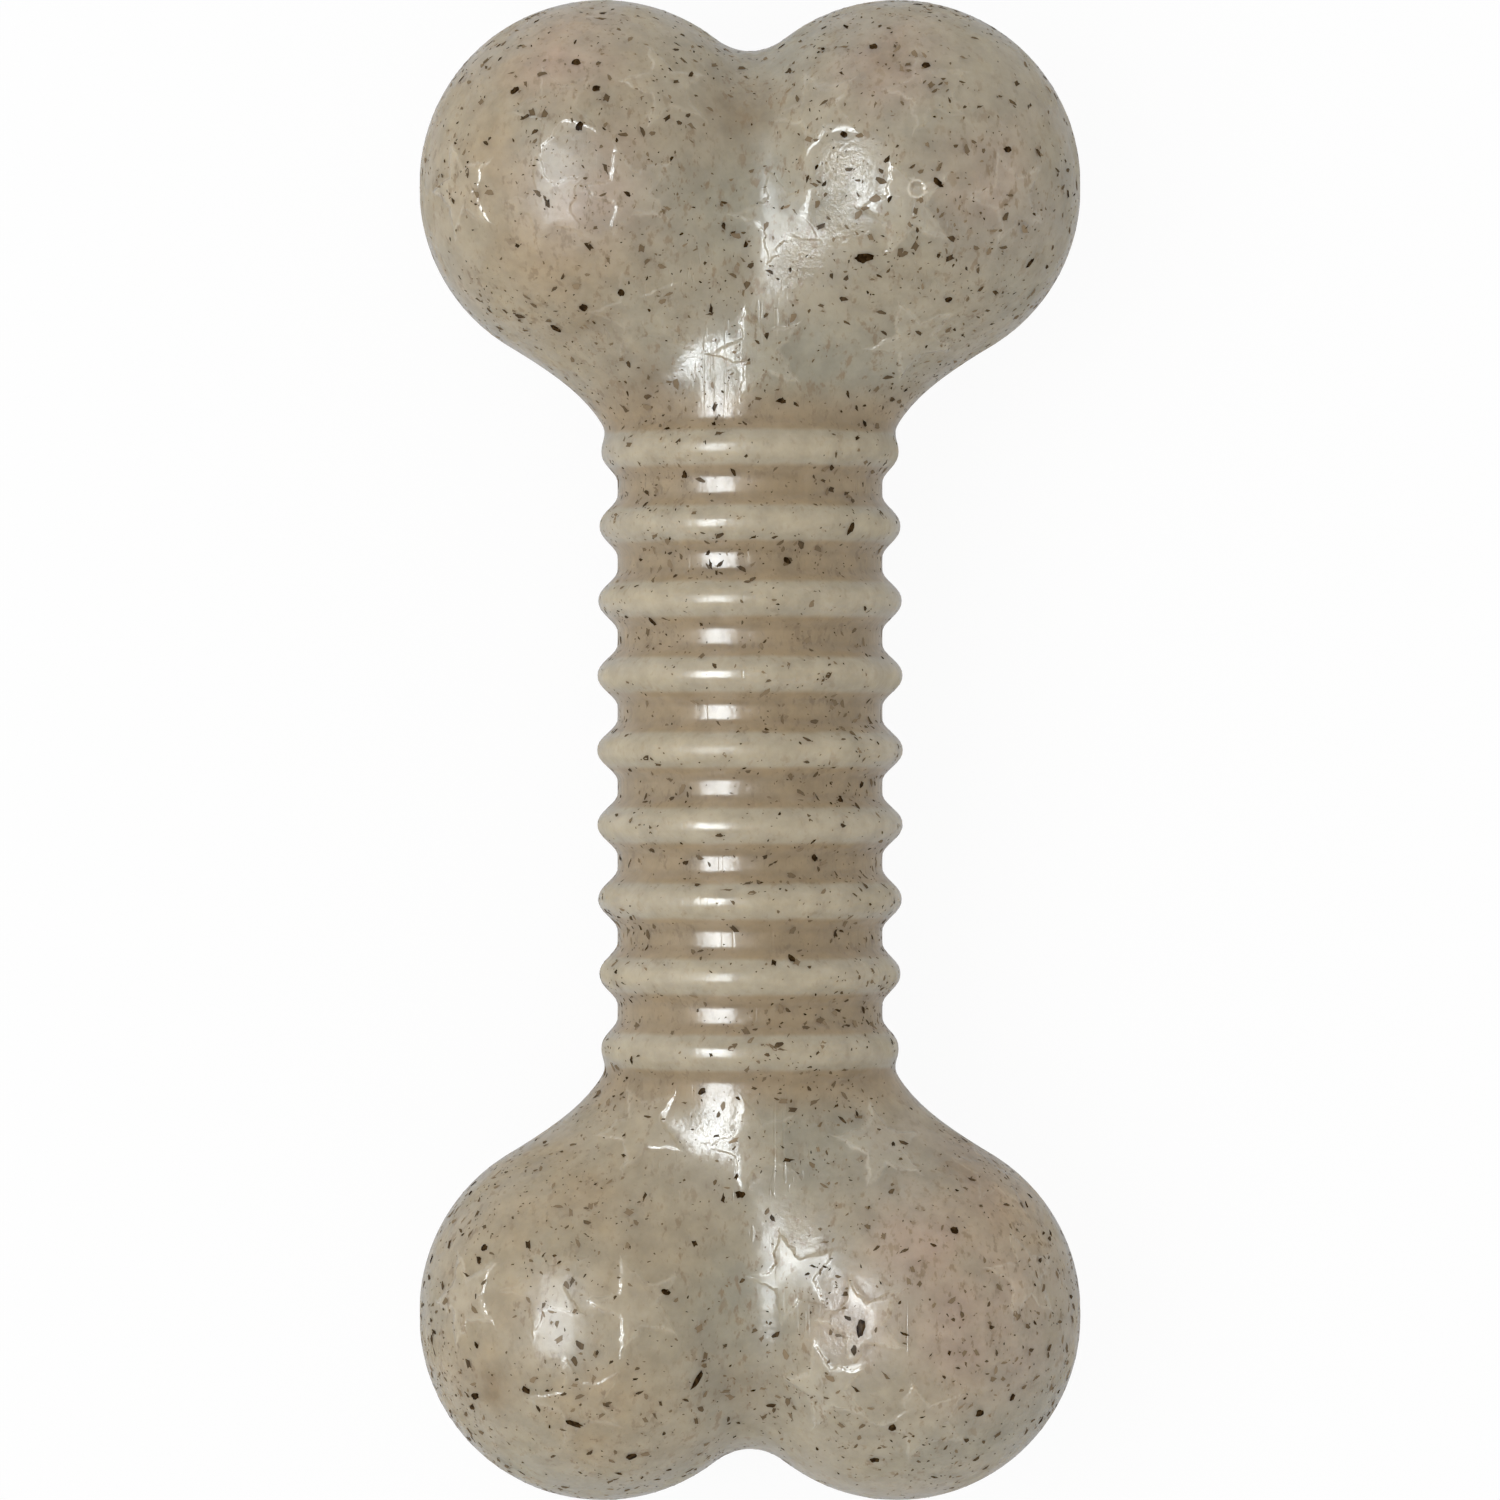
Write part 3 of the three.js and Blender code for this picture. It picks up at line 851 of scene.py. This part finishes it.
# Finishes
def star_lines(coords):
    """How far a place is inside its star's wavering outline, in metres, and how fresh that star is."""
    tree = coords.tree
    relief = bpy.context.scene.bone_relief
    place = output(tree, "ShaderNodeAttribute", which="Vector", attribute_name="star_place")
    fresh = parts_of(place)[2]
    wander = {0: noise(coords, STAR_WANDER, "Color"), 1: (0.5, 0.5, 0.5)}
    stray = scaled(output(tree, "ShaderNodeVectorMath", wander, operation="SUBTRACT"), relief.star_stray)
    strayed = output(tree, "ShaderNodeVectorMath", {0: place, 1: stray}, operation="ADD")
    across, along, _ = parts_of(strayed)
    sector = math.pi / STAR_POINTS
    folded = maths("PINGPONG", maths("ARCTAN2", along * -1.0, across * -1.0), sector)
    flat = output(tree, "ShaderNodeCombineXYZ", {"X": across, "Y": along})
    far = output(tree, "ShaderNodeVectorMath", {0: flat}, "Value", operation="LENGTH")
    waist = relief.star_waist
    side = Vector((waist * math.cos(sector) - 1, waist * math.sin(sector))).normalized()
    from_tip = 1.0 - far * maths("COSINE", folded)
    beside = far * maths("SINE", folded)
    inward = maths("MULTIPLY_ADD", from_tip, side.y, beside * side.x)
    return inward * relief.star_radius, fresh


def star_edge(lines):
    """Up to 1 on a star's outline, and 0 away from it."""
    inward, fresh = lines
    return between(abs(inward), 0.0, bpy.context.scene.bone_relief.lip_edge, 1.0, 0.0) * fresh


def star_inside(lines):
    """Up to 1 on a star, and 0 beside it."""
    inward, fresh = lines
    half = bpy.context.scene.bone_relief.lip_edge / 2
    return between(inward, -half, half) * fresh


def smudges(coords, turn, spots):
    """Soft long spots that lie in one direction, crowded in some places."""
    stretched = moved(coords, (turn, 0.0, turn), turn, SMUDGE_STRETCH)
    return shown(stretched, spots) * shown(stretched, SMUDGE_CROWDS)


def patch_of(coords, name):
    """A named patch of the skin with an uneven edge."""
    return smaller(vertex_value(coords.tree, name) * shown(coords, PATCH_EDGES), 1.0)


def nylon_colour(coords, lines):
    """Clouded tan nylon with bark deep in it, and painted light and shade: ribs paler, grooves browner, and
    stars paler and outlined by a painted highlight.
    """
    finishes = bpy.context.scene.bone_finishes
    on_shaft, crest, ring = (vertex_value(coords.tree, name) for name in ("on_shaft", "rib_crest", "ring"))
    tint = blended(shown(coords, COOL_CLOUDS), finishes.nylon, finishes.nylon_cool)
    for name, second in (
        ("warm", finishes.nylon_warm), ("pink", finishes.nylon_pink), ("stained", finishes.deep_bark),
    ):
        tint = blended(patch_of(coords, name), tint, second)
    uneven = maths("MULTIPLY_ADD", noise(coords, SKIN_WAVES), CREST_STRAY, -CREST_STRAY / 2)
    # painted light and shade: the ribs' crests lighter, the grooves darker
    shaft = blended(between(crest + uneven, *CREST_EDGE), finishes.groove_shade, finishes.crest)
    # stars' faces: partly painted light, partly wear
    for part, second in (
        (on_shaft * RIB_LIGHT_GROOVE_SHADE, shaft), (star_inside(lines) * lines[1] * STAR_LIGHT_AND_WEAR, finishes.ring),
        # painted highlight along each star's edge
        (star_edge(lines) * STAR_EDGE_HIGHLIGHT, finishes.ring), (ring * GATE_TINT, finishes.ring),
    ):
        tint = blended(part, tint, second)
    off_ribs = between(crest, 0.0, 1.0, 1.0, SMUDGES_ON_CRESTS)
    for turn, spots in SMUDGES.items():
        tint = blended(smudges(coords, turn, spots) * off_ribs * SMUDGE_TINT, tint, finishes.bark_faded)
    return scaled(tint, shown(coords, MOTTLE))


def nylon_bump(coords, lines):
    """Slight waviness, crumbled patches and long scratches, as a normal; the heights are in millimetres."""
    tree = coords.tree
    waves = noise(coords, SKIN_WAVES) * WAVE_HEIGHT
    rough = maths("MULTIPLY_ADD", vertex_value(tree, "crumbled"), CRUMB_HEIGHT, GRAIN_HEIGHT)
    grain = noise(coords, CRUMBS) * rough
    scratched = larger(shown(coords, SCRATCHED), vertex_value(tree, "on_shaft") * SHAFT_SCRATCHED)
    scratches = shown(coords, SCRATCHES) * scratched
    lip = star_inside(lines) * (bpy.context.scene.bone_relief.lip_height / MM)
    height = lip + (waves + grain) - scratches * SCRATCH_DEPTH
    return output(tree, "ShaderNodeBump", {"Height": height, "Strength": 1.0, "Distance": MM})


def nylon_gloss(coords, edge):
    """Weight of the gloss: dull in patches and on the ribs' crests, bright on the stars' edges."""
    tree = coords.tree
    on_shaft = vertex_value(tree, "on_shaft")
    crest = vertex_value(tree, "rib_crest") * on_shaft
    on_ribs = crest * shown(coords, RIB_WEAR)
    in_grooves = (on_shaft - crest) * shown(coords, GROOVE_WEAR)
    elsewhere = shown(coords, SKIN_WEAR) * (1.0 - on_shaft)
    worn = larger(larger(larger(vertex_value(tree, "dull"), on_ribs), in_grooves), elsewhere)
    return between(worn * (1.0 - edge), 0.0, 1.0, 1.0, DULLEST)


def nylon_material():
    """Glossy, slightly translucent nylon with dull patches."""
    material, shader, coords = new_material("moulded_nylon", NYLON_SHADER)
    lines = star_lines(coords)
    bumpy = nylon_bump(coords, lines)
    feed(shader.inputs["Base Color"], nylon_colour(coords, lines))
    feed(shader.inputs["Roughness"], shown(coords, NYLON_ROUGHNESS))
    feed(shader.inputs["Normal"], bumpy)
    feed(shader.inputs["Coat Normal"], bumpy)
    feed(shader.inputs["Coat Weight"], nylon_gloss(coords, star_edge(lines)))
    return material


def bark_material(name, faded):
    """Bark under the nylon's gloss; a faded one takes its depth from each fleck's own value."""
    finishes = bpy.context.scene.bone_finishes
    material, shader, coords = new_material(name, BARK_SHADER)
    grain = shown(coords, BARK_GRAIN)
    tint = blended(grain * GRAIN_TINT, finishes.bark, finishes.deep_bark)
    if faded:
        tint = blended(vertex_value(coords.tree, "fade"), tint, finishes.bark_faded)
    feed(shader.inputs["Base Color"], tint)
    feed(shader.inputs["Roughness"], between(grain, 0.0, 1.0, *BARK_ROUGHNESS))
    return material


# Geometry node trees
def new_tree(name, floats, whole):
    """A geometry node tree, and its inputs: a geometry, a material, named floats and one whole number."""
    tree = bpy.data.node_groups.new(name, "GeometryNodeTree")
    tree.is_modifier = True
    tree.interface.new_socket("Geometry", in_out="OUTPUT", socket_type="NodeSocketGeometry")
    kinds = {"Geometry": "Geometry", **dict.fromkeys(floats, "Float"), whole: "Int", "Material": "Material"}
    for label, kind in kinds.items():
        tree.interface.new_socket(label, in_out="INPUT", socket_type="NodeSocket" + kind)
    given = tree.nodes.new("NodeGroupInput").outputs
    return tree, {label: Value(tree, given[label]) for label in kinds}


def end_tree(shape, material):
    """Ends a tree with a shape of plain faces, without instances, in one material."""
    plain = output(shape.tree, "GeometryNodeRealizeInstances", {0: shape})
    dressed = output(shape.tree, "GeometryNodeSetMaterial", {"Geometry": plain, "Material": material})
    feed(shape.tree.nodes.new("NodeGroupOutput").inputs[0], dressed)
    return shape.tree


def run_tree(piece, tree, values):
    """Runs a tree on a piece with the named values, and makes the result the piece's own plain mesh."""
    modifier = piece.modifiers.new(tree.name, "NODES")
    modifier.node_group = tree
    for item in tree.interface.items_tree:
        if item.in_out == "INPUT" and item.name in values:
            modifier[item.identifier] = values[item.name]
    evaluated = piece.evaluated_get(bpy.context.evaluated_depsgraph_get())
    made = bpy.data.meshes.new_from_object(evaluated)
    piece.modifiers.remove(modifier)
    piece.data = made
    place_vertices(made, inside_box(coordinates(made)))


def store_field(shape, name, value, domain):
    """Keeps a field on the geometry under a name that the materials read."""
    inputs = {"Geometry": shape, "Name": name, "Value": value}
    return output(shape.tree, "GeometryNodeStoreNamedAttribute", inputs, data_type="FLOAT", domain=domain)


def named_value(tree, name):
    """A field that the geometry holds under a name."""
    return output(tree, "GeometryNodeInputNamedAttribute", {"Name": name}, "Attribute", data_type="FLOAT")


def random_value(tree, kind, low, high, seed):
    """A random value of a kind between two others."""
    at_low, at_high, at_result = RANDOM_SOCKETS[kind]
    inputs = {at_low: low, at_high: high, "Seed": seed}
    return output(tree, "FunctionNodeRandomValue", inputs, at_result, data_type=kind)


def rib_tree():
    """Lifts rounded rings out of a plain shaft, and keeps where they are."""
    floats = ("Axis Height", "Shaft Radius", "Pitch", "Width", "Height", "Crown", "Fullness")
    tree, given = new_tree("rib_rings", floats, "Count")
    pitch = given["Pitch"]
    across, along, height = parts_of(output(tree, "GeometryNodeInputPosition"))
    up = height - given["Axis Height"]
    radius = maths("SQRT", across ** 2.0 + up ** 2.0)
    last = given["Count"] - 1.0
    half = last / 2.0
    nearest = maths("ROUND", along / pitch + half)
    index = smaller(larger(nearest, 0.0), last) - half
    off = smaller(abs(along - index * pitch) / (given["Width"] / 2.0), 1.0)
    part = (maths("COSINE", off ** given["Fullness"] * math.pi) + 1.0) / 2.0
    sunk = (index / larger(half, 1.0)) ** 2.0
    crest = given["Shaft Radius"] + given["Height"] - given["Crown"] * sunk
    stretch = larger((crest - radius) * part, 0.0) / radius
    shift = output(tree, "ShaderNodeCombineXYZ", {"X": across * stretch, "Z": up * stretch})
    past = (abs(along) - (half + 0.5) * pitch) / pitch
    shape = store_field(given["Geometry"], "rib_crest", part, "POINT")
    shape = store_field(shape, "on_shaft", between(past, *SHAFT_ENDS, 1.0, 0.0), "POINT")
    shape = output(tree, "GeometryNodeSetPosition", {"Geometry": shape, "Offset": shift})
    shape = output(tree, "GeometryNodeSetShadeSmooth", {"Geometry": shape})
    return end_tree(shape, given["Material"])


def fleck_shape(tree, seed):
    """One small chip of wood: a flat piece with a ragged outline, whose upper side is marked."""
    sizes = {"Vertices": FLECK_CORNERS, "Radius": 0.5, "Depth": 1.0}
    plate = output(tree, "GeometryNodeMeshCylinder", sizes, "Mesh", fill_type="TRIANGLE_FAN")
    height = parts_of(output(tree, "GeometryNodeInputPosition"))[2]
    plate = store_field(plate, "upper", maths("GREATER_THAN", height, 0.0), "POINT")
    low = (-FLECK_STRAY, -FLECK_STRAY, 0.0)
    high = (FLECK_STRAY, FLECK_STRAY, 0.0)
    jitter = random_value(tree, "FLOAT_VECTOR", low, high, seed)
    uneven = output(tree, "GeometryNodeSetPosition", {"Geometry": plate, "Offset": jitter})
    return output(tree, "GeometryNodeGeometryToInstance", {0: uneven})


def pressed_on(shape, skin, proud, sunk):
    """Flecks bent to the skin that they lie in, so that their upper sides are just above it."""
    tree = shape.tree
    nearest = output(tree, "GeometryNodeProximity", {0: skin}, "Position", target_element="FACES")
    normals = {"Mesh": skin, "Value": output(tree, "GeometryNodeInputNormal")}
    facing = output(tree, "GeometryNodeSampleNearestSurface", normals, "Value", data_type="FLOAT_VECTOR")
    lift = scaled(facing, named_value(tree, "upper") * (proud + sunk) - sunk)
    inputs = {"Geometry": shape, "Position": nearest, "Offset": lift}
    return output(tree, "GeometryNodeSetPosition", inputs)


def fleck_tree():
    """Scatters small wood flecks over the skin, each with its own size, turn and depth of colour."""
    floats = ("Density", "Shortest", "Longest", "Proud", "Sunk", "Lowest", "Highest")
    tree, given = new_tree("wood_flecks", floats, "Seed")
    seed = given["Seed"]
    skin = given["Geometry"]
    place = output(tree, "GeometryNodeInputPosition")
    height = parts_of(place)[2]
    off_ribs = between(named_value(tree, "rib_crest"), 0.0, 1.0, 1.0, FLECKS_ON_CRESTS)
    on_shaft = between(named_value(tree, "on_shaft"), 0.0, 1.0, 1.0, FLECKS_ON_SHAFT)
    above = maths("GREATER_THAN", height, given["Lowest"])
    below = maths("LESS_THAN", height, given["Highest"])
    scatter = add_node(tree, "GeometryNodeDistributePointsOnFaces", {
        "Mesh": skin, "Selection": above * below, "Seed": seed,
        "Density": given["Density"] * (shown(place, FLECK_CROWDS) * (off_ribs * on_shaft)),
    }, distribute_method="RANDOM")
    turn = output(tree, "FunctionNodeAxisAngleToRotation", {
        "Axis": (0.0, 0.0, 1.0), "Angle": random_value(tree, "FLOAT", 0.0, 2 * math.pi, seed),
    })
    stance = output(tree, "FunctionNodeRotateRotation", {
        "Rotation": Value(tree, scatter.outputs["Rotation"]), "Rotate By": turn,
    }, rotation_space="LOCAL")
    chance = random_value(tree, "FLOAT", 0.0, 1.0, seed + 1.0) ** SHORT_POWER
    long = given["Shortest"] + (given["Longest"] - given["Shortest"]) * chance
    slim = random_value(tree, "FLOAT", *FLECK_SLIM, seed + 2.0)
    size = output(tree, "ShaderNodeCombineXYZ", {"X": long, "Y": long * slim, "Z": given["Sunk"]})
    kinds = add_node(tree, "GeometryNodeJoinGeometry")
    for kind in range(FLECK_KINDS):
        feed(kinds.inputs[0], fleck_shape(tree, kind))
    placed = output(tree, "GeometryNodeInstanceOnPoints", {
        "Points": Value(tree, scatter.outputs["Points"]), "Instance": Value(tree, kinds.outputs[0]),
        "Pick Instance": True, "Instance Index": random_value(tree, "INT", 0, FLECK_KINDS - 1, 0),
        "Rotation": stance, "Scale": size,
    })
    fade = random_value(tree, "FLOAT", 0.0, 1.0, seed + 3.0) ** FADE_POWER
    placed = store_field(placed, "fade", fade * FADE_MOST, "INSTANCE")
    shape = output(tree, "GeometryNodeRealizeInstances", {0: placed})
    return end_tree(pressed_on(shape, skin, given["Proud"], given["Sunk"]), given["Material"])


# Operators
class DOGBONE_OT_moulding(bpy.types.Operator):
    """Builds the nylon moulding with its ribs, stars, gate mark and parting line"""

    bl_idname = "dogbone.moulding"
    bl_label = "Moulded bone"

    def execute(self, context):
        form = context.scene.bone_form
        ribs = context.scene.bone_ribs
        mesh = plain_mesh()
        for gap_of, splits in ((star_gap, STAR_SPLITS), (gate_gap, GATE_SPLITS)):
            for reach in splits:
                refine(mesh, gap_of, reach)
        raise_relief(mesh)
        piece = new_object("moulded_bone", mesh)
        run_tree(piece, rib_tree(), {
            "Axis Height": form.axis_height, "Shaft Radius": form.shaft_radius, "Count": ribs.count,
            "Pitch": ribs.pitch, "Width": ribs.width, "Height": ribs.height, "Crown": ribs.crown,
            "Fullness": ribs.fullness, "Material": nylon_material(),
        })
        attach(piece, BODY)
        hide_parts(MOULDING_NODE)
        return {"FINISHED"}


def chip_outline(node, chance):
    """A ragged outline inside a chip's solid: its middle, the outline's offsets from it, and the normal."""
    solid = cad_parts[node]
    corners = np.array([solid.matrix_world @ vertex.co for vertex in solid.data.vertices])
    middle = settled(corners.mean(0, keepdims=True))
    normal = plain_normals(middle)[0]
    sideways = np.cross((0.0, 1.0, 0.0), normal)
    sideways /= np.linalg.norm(sideways)
    forward = np.cross(normal, sideways)
    flat = [Vector((offset @ sideways, offset @ forward)) for offset in corners - middle]
    hull = [flat[index] for index in geometry.convex_hull_2d(flat)]
    spread, axes = np.linalg.eigh(np.array(hull).T @ np.array(hull))
    short, long = axes.T
    short = short * math.sqrt(spread[0] / spread[1]) * np.sign(long[0] * short[1] - long[1] * short[0])
    turns = 2 * np.pi * np.arange(CHIP_STEPS)[:, None] / CHIP_STEPS
    rays = unit(np.cos(turns) * long + np.sin(turns) * short)
    reach = np.full(CHIP_STEPS, np.inf)
    for start, end in zip(hull, hull[1:] + hull[:1]):
        outward = np.array((end.y - start.y, start.x - end.x))
        facing = rays @ outward
        limit = abs(outward @ np.array(start))
        reach = np.where(facing > FACING, np.minimum(reach, limit / np.maximum(facing, FACING)), reach)
    ragged = rays * (reach * chance.uniform(*CHIP_RAGGED, CHIP_STEPS))[:, None]
    return middle, ragged @ np.array((sideways, forward)), normal


def chip_mesh(node, chance):
    """A chip's mesh: a low crown on the skin, a bevelled rim and a wall down into the nylon."""
    middle, ragged, normal = chip_outline(node, chance)
    top = finished_skin(middle) + normal * CHIP_PROUD
    crown = finished_skin(middle + ragged * CHIP_CROWN) + normal * CHIP_PROUD
    rim = finished_skin(middle + ragged) + normal * CHIP_PROUD * CHIP_RIM
    foot = finished_skin(middle + ragged * CHIP_FOOT) - normal * CHIP_DEPTH
    rings = [inside_box(ring) for ring in (crown, rim, foot)]
    mesh = closed_mesh(node, inside_box(top), rings, inside_box(foot.mean(0, keepdims=True)))
    mesh.validate()
    return mesh


class DOGBONE_OT_bark_chips(bpy.types.Operator):
    """Builds a ragged bark chip over each chip of the solid model"""

    bl_idname = "dogbone.bark_chips"
    bl_label = "Bark chips"

    def execute(self, context):
        chance = np.random.default_rng(CHIP_SEED)
        material = bark_material("bark_chip", faded=False)
        for node in CHIP_NODES:
            piece = new_object(node.replace("chip", "inlay"), chip_mesh(node, chance))
            piece.data.materials.append(material)
            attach(piece, BODY)
            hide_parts(node)
        return {"FINISHED"}


class DOGBONE_OT_wood_flecks(bpy.types.Operator):
    """Scatters the small wood flecks over the upper and the lower half of the moulding"""

    bl_idname = "dogbone.wood_flecks"
    bl_label = "Wood flecks"

    def execute(self, context):
        middle = context.scene.bone_form.axis_height
        flecks = context.scene.bone_flecks
        skin = bpy.data.objects["moulded_bone"].data
        material = bark_material("wood_fleck", faded=True)
        tree = fleck_tree()
        halves = {"flecks_above": (middle, CAD_HIGH.z), "flecks_below": (FLECKS_FROM, middle)}
        for number, (name, (lowest, highest)) in enumerate(halves.items()):
            piece = new_object(name, skin.copy())
            run_tree(piece, tree, {
                "Density": flecks.density, "Shortest": flecks.shortest, "Longest": flecks.longest,
                "Proud": flecks.proud, "Sunk": flecks.sunk, "Lowest": lowest, "Highest": highest,
                "Seed": flecks.seed + number, "Material": material,
            })
            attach(piece, BODY)
        return {"FINISHED"}


def show_backdrop(across, shade, otherwise):
    """A backdrop's strength: a shade to the camera, also through glass, dimmer in gloss with painted light
    on the left and painted shade on the right, else plain.
    """
    path = add_node(across.tree, "ShaderNodeLightPath").outputs
    rays = ("Is Camera Ray", "Is Transmission Ray", "Is Glossy Ray")
    by_camera, by_glass, by_gloss = (Value(across.tree, path[name]) for name in rays)
    straight = larger(by_camera, by_glass)
    # painted light and shade on the backdrop as seen in gloss: brighter on the left, darker on the right
    painted_side_light = between(across, -SIDE_SPAN, SIDE_SPAN, PAINTED_LIT_SIDE, PAINTED_SHADED_SIDE)
    dimmed = by_gloss * (painted_side_light * bpy.context.scene.bone_studio.mirrored)
    unseen = 1.0 - larger(straight, by_gloss)
    return maths("MULTIPLY_ADD", unseen, otherwise, larger(straight, dimmed) * shade), unseen


def floor_material():
    """Paper that shows almost pure white and still takes the bone's soft shadow."""
    paper = {"Base Color": (*bpy.context.scene.bone_finishes.floor, 1.0), **PAPER_SHADER}
    material, shader, coords = new_material("studio_paper", paper)
    tree = coords.tree
    strength, unseen = show_backdrop(parts_of(coords)[0], 1.0, 0.0)
    glow = output(tree, "ShaderNodeEmission", {"Strength": strength})
    layers = {0: (1.0 - unseen) * PAPER_GLOW, 1: Value(tree, shader.outputs[0]), 2: glow}
    feed(tree.nodes["Material Output"].inputs["Surface"], output(tree, "ShaderNodeMixShader", layers))
    return material


def studio_world():
    """White round the horizon and grey overhead where it is seen, and an even fill for all else."""
    world = bpy.data.worlds.new("studio")
    bpy.context.scene.world = world
    world.use_nodes = True
    tree = world.node_tree
    across, _, upward = parts_of(output(tree, "ShaderNodeTexCoord", which="Generated"))
    shade = between(upward, *OVERHEAD, 1.0, OVERHEAD_GREY)
    strength, _ = show_backdrop(across, shade, bpy.context.scene.bone_studio.fill)
    feed(tree.nodes["Background"].inputs["Strength"], strength)
    feed(tree.nodes["Background"].inputs["Color"], (1.0, 1.0, 1.0, 1.0))


def add_lamp(name, tilt, distance, size, power):
    """A softbox that leans to the left from straight above and faces the bone."""
    lamp = bpy.data.lights.new(name, "AREA")
    lamp.shape = "RECTANGLE"
    lamp.size, lamp.size_y = size
    lamp.energy = power
    holder = new_object(name, lamp)
    holder.location = (-distance * math.sin(tilt), 0.0, distance * math.cos(tilt))
    holder.rotation_euler = (0.0, -tilt, 0.0)
    holder.visible_camera = False
    return holder


def add_camera():
    """A long lens straight above the bone, whose length just fills the picture."""
    form = bpy.context.scene.bone_form
    data = bpy.data.cameras.new("overhead")
    data.lens = bpy.context.scene.bone_studio.lens
    data.sensor_width = SENSOR_WIDTH
    data.clip_start = CLIP_START
    half_view = math.atan(data.sensor_width / 2 / data.lens)
    away = CAD_HIGH.y / math.tan(half_view)
    for _ in range(FRAMING_STEPS):
        off_axis = math.atan2(form.knob_y, away)
        seen_radius = math.asin(form.knob_radius / math.hypot(form.knob_y, away))
        away *= math.tan(off_axis + seen_radius) / math.tan(half_view)
    camera = new_object("overhead", data)
    camera.location = (0.0, 0.0, form.axis_height + away)
    bpy.context.scene.camera = camera


class DOGBONE_OT_stage(bpy.types.Operator):
    """Builds the floor, the light and the camera"""

    bl_idname = "dogbone.stage"
    bl_label = "Studio"

    def execute(self, context):
        studio = context.scene.bone_studio
        context.scene.view_settings.view_transform = "Standard"
        half = FLOOR_HALF
        corners = [(-half, -half, 0.0), (half, -half, 0.0), (half, half, 0.0), (-half, half, 0.0)]
        mesh = bpy.data.meshes.new("studio_floor")
        mesh.from_pydata(corners, [], [(0, 1, 2, 3)])
        mesh.materials.append(floor_material())
        floor = new_object("studio_floor", mesh)
        studio_world()
        add_lamp("left_softbox", studio.key_tilt, KEY_DISTANCE, KEY_SIZE, studio.key_power)
        sheen = add_lamp("left_sheen", studio.key_tilt, KEY_DISTANCE, SHEEN_SIZE, studio.sheen_power)
        sheen.data.color = context.scene.bone_finishes.sheen
        sheen.visible_diffuse = False
        add_lamp("lens_lamp", 0.0, GLINT_DISTANCE, GLINT_SIZE, studio.glint_power)
        add_camera()
        return {"FINISHED"}


OPERATORS = (DOGBONE_OT_moulding, DOGBONE_OT_bark_chips, DOGBONE_OT_wood_flecks, DOGBONE_OT_stage)


class DOGBONE_PT_sidebar(bpy.types.Panel):
    """The steps that build the bone, and the sizes that they use"""

    bl_idname = "DOGBONE_PT_sidebar"
    bl_label = "Dog Bone"
    bl_space_type = "VIEW_3D"
    bl_region_type = "UI"
    bl_category = "Dog Bone"

    def draw(self, context):
        for operator in OPERATORS:
            self.layout.operator(operator.bl_idname)
        for attribute, group in SETTINGS.items():
            box = self.layout.box()
            for name in group.__annotations__:
                box.prop(getattr(context.scene, attribute), name)


CLASSES = (*SETTINGS.values(), *OPERATORS, DOGBONE_PT_sidebar)


def register():
    """Registers the classes and hangs the settings on the scene."""
    for cls in CLASSES:
        bpy.utils.register_class(cls)
    for attribute, group in SETTINGS.items():
        setattr(bpy.types.Scene, attribute, PointerProperty(type=group))


def unregister():
    """Takes the settings and classes away again."""
    for attribute in SETTINGS:
        delattr(bpy.types.Scene, attribute)
    for cls in reversed(CLASSES):
        bpy.utils.unregister_class(cls)


def main():
    """Builds every piece and the studio."""
    register()
    bpy.ops.dogbone.moulding()
    bpy.ops.dogbone.bark_chips()
    bpy.ops.dogbone.wood_flecks()
    bpy.ops.dogbone.stage()


if __name__ == "__main__":
    main()
